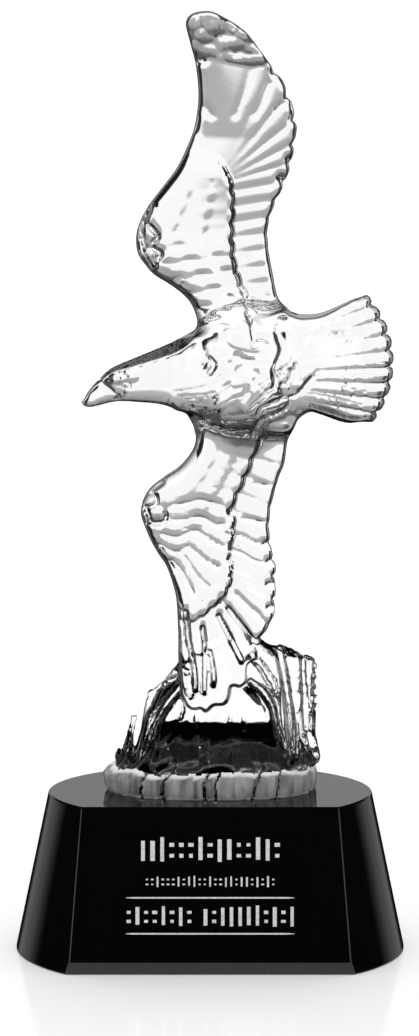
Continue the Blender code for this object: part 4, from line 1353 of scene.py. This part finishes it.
# How bright a panel is at each height above the table's level, in degrees.
PANEL_FADE = (
    (-5.4, 1.0), (-4.2, 0.74), (-3.6, 0.55), (-2.9, 0.46), (1.0, 0.4), (9.0, 0.3), (16.0, 0.1), (30.0, 0.03),
)
GAP = 0.02  # how bright the gaps between the panels are
# The lights seen in reflections, in degrees of turn from straight behind and of height. Two angles are
# where a light is still full and where it ends, and four are where it starts, is full, is still full
# and ends.
WALL = dict(turn=(35.0, 65.0), height=(2.0, 6.0, 16.0, 28.0), bright=0.75)
SIDES = dict(turn=(25.0, 42.0, 58.0, 82.0), height=(0.0, 5.0), bright=0.55)
STRIPS = dict(turn=(128.0, 134.0, 146.0, 152.0), height=(14.0, 22.0), bright=1.5)
FLOOR = dict(turn=(110.0, 90.0), height=(-11.0, -8.0), bright=1.0)
DARK_ROOM = 0.01
ROOM_LIGHT = 1.15  # what lights the table and all that is matt
BACKDROP = 1.1  # what the camera sees past the table


def build_world():
    world = bpy.data.worlds.new("studio")
    bpy.context.scene.world = world
    world.use_nodes = True
    tree = world.node_tree
    tree.nodes.clear()

    def maths(operation, a, b=0.0, c=0.0):
        return add_node(tree, "ShaderNodeMath", {0: a, 1: b, 2: c}, operation=operation).outputs[0]

    def fade(value, full, none):
        """1 at full, 0 at none, smooth between."""
        ends = {"Value": value, "From Min": full, "From Max": none, "To Min": 1.0, "To Max": 0.0}
        return add_node(tree, "ShaderNodeMapRange", ends, interpolation_type="SMOOTHSTEP").outputs[0]

    def band(value, angles):
        """1 where a light is full and 0 beyond its ends."""
        if len(angles) == 2:
            return fade(value, *angles)
        starts, full, still_full, ends = angles
        return maths("MINIMUM", fade(value, full, starts), fade(value, still_full, ends))

    def choose(share, a, b):
        return add_node(tree, "ShaderNodeMix", {0: share, 2: a, 3: b}, data_type="FLOAT").outputs[0]

    place = tree.nodes.new("ShaderNodeTexCoord").outputs["Generated"]
    x, y, z = add_node(tree, "ShaderNodeSeparateXYZ", {0: place}).outputs
    to_degrees = 180 / math.pi
    level = maths("SQRT", maths("ADD", maths("MULTIPLY", x, x), maths("MULTIPLY", y, y)))
    height = maths("MULTIPLY", maths("ARCTAN2", z, level), to_degrees)
    turn = maths("MULTIPLY", maths("ARCTAN2", x, y), to_degrees)

    # Seen through the glass.
    off_wide = maths("ABSOLUTE", maths("WRAP", turn, PANEL_STEP, -PANEL_STEP))
    off_narrow = maths("SUBTRACT", PANEL_STEP, off_wide)
    panels = maths("MAXIMUM", fade(off_wide, *WIDE_PANEL), fade(off_narrow, *NARROW_PANEL))
    lowest, highest = PANEL_FADE[0][0], PANEL_FADE[-1][0]
    ends = {"Value": height, "From Min": lowest, "From Max": highest}
    up = add_node(tree, "ShaderNodeMapRange", ends).outputs["Result"]
    stops = [((angle - lowest) / (highest - lowest), shade) for angle, shade in PANEL_FADE]
    through = maths("MAXIMUM", maths("MULTIPLY", panels, grey_ramp(tree, up, stops)), GAP)

    # Seen in reflections.
    away = maths("ABSOLUTE", turn)
    mirrored = DARK_ROOM
    for light in (WALL, SIDES, STRIPS, FLOOR):
        glow = maths("MINIMUM", band(away, light["turn"]), band(height, light["height"]))
        mirrored = maths("MAXIMUM", maths("MULTIPLY", glow, light["bright"]), mirrored)

    path = tree.nodes.new("ShaderNodeLightPath").outputs
    seen = choose(path["Is Glossy Ray"], ROOM_LIGHT, mirrored)
    seen = choose(path["Is Transmission Ray"], seen, through)
    seen = choose(path["Is Camera Ray"], seen, BACKDROP)
    glow = add_node(tree, "ShaderNodeBackground", {"Color": seen}).outputs["Background"]
    add_node(tree, "ShaderNodeOutputWorld", {"Surface": glow})


build_world()

# %% [markdown]
# One broad lamp overhead lights the table and the strokes. The glass neither mirrors it nor passes it
# on, so its pattern of light and dark is made by the walls and by the painted shade at its edges.

# %% The lamp
def add_sun(name, strength, spread_degrees):
    lamp = bpy.data.lights.new(name, "SUN")
    lamp.energy = strength
    lamp.angle = math.radians(spread_degrees)
    made = show(name, lamp)
    made.visible_glossy = False
    made.visible_transmission = False


add_sun("overhead", 1.2, 60)
scene = bpy.context.scene
scene.view_settings.view_transform = "Standard"
scene.view_settings.look = "None"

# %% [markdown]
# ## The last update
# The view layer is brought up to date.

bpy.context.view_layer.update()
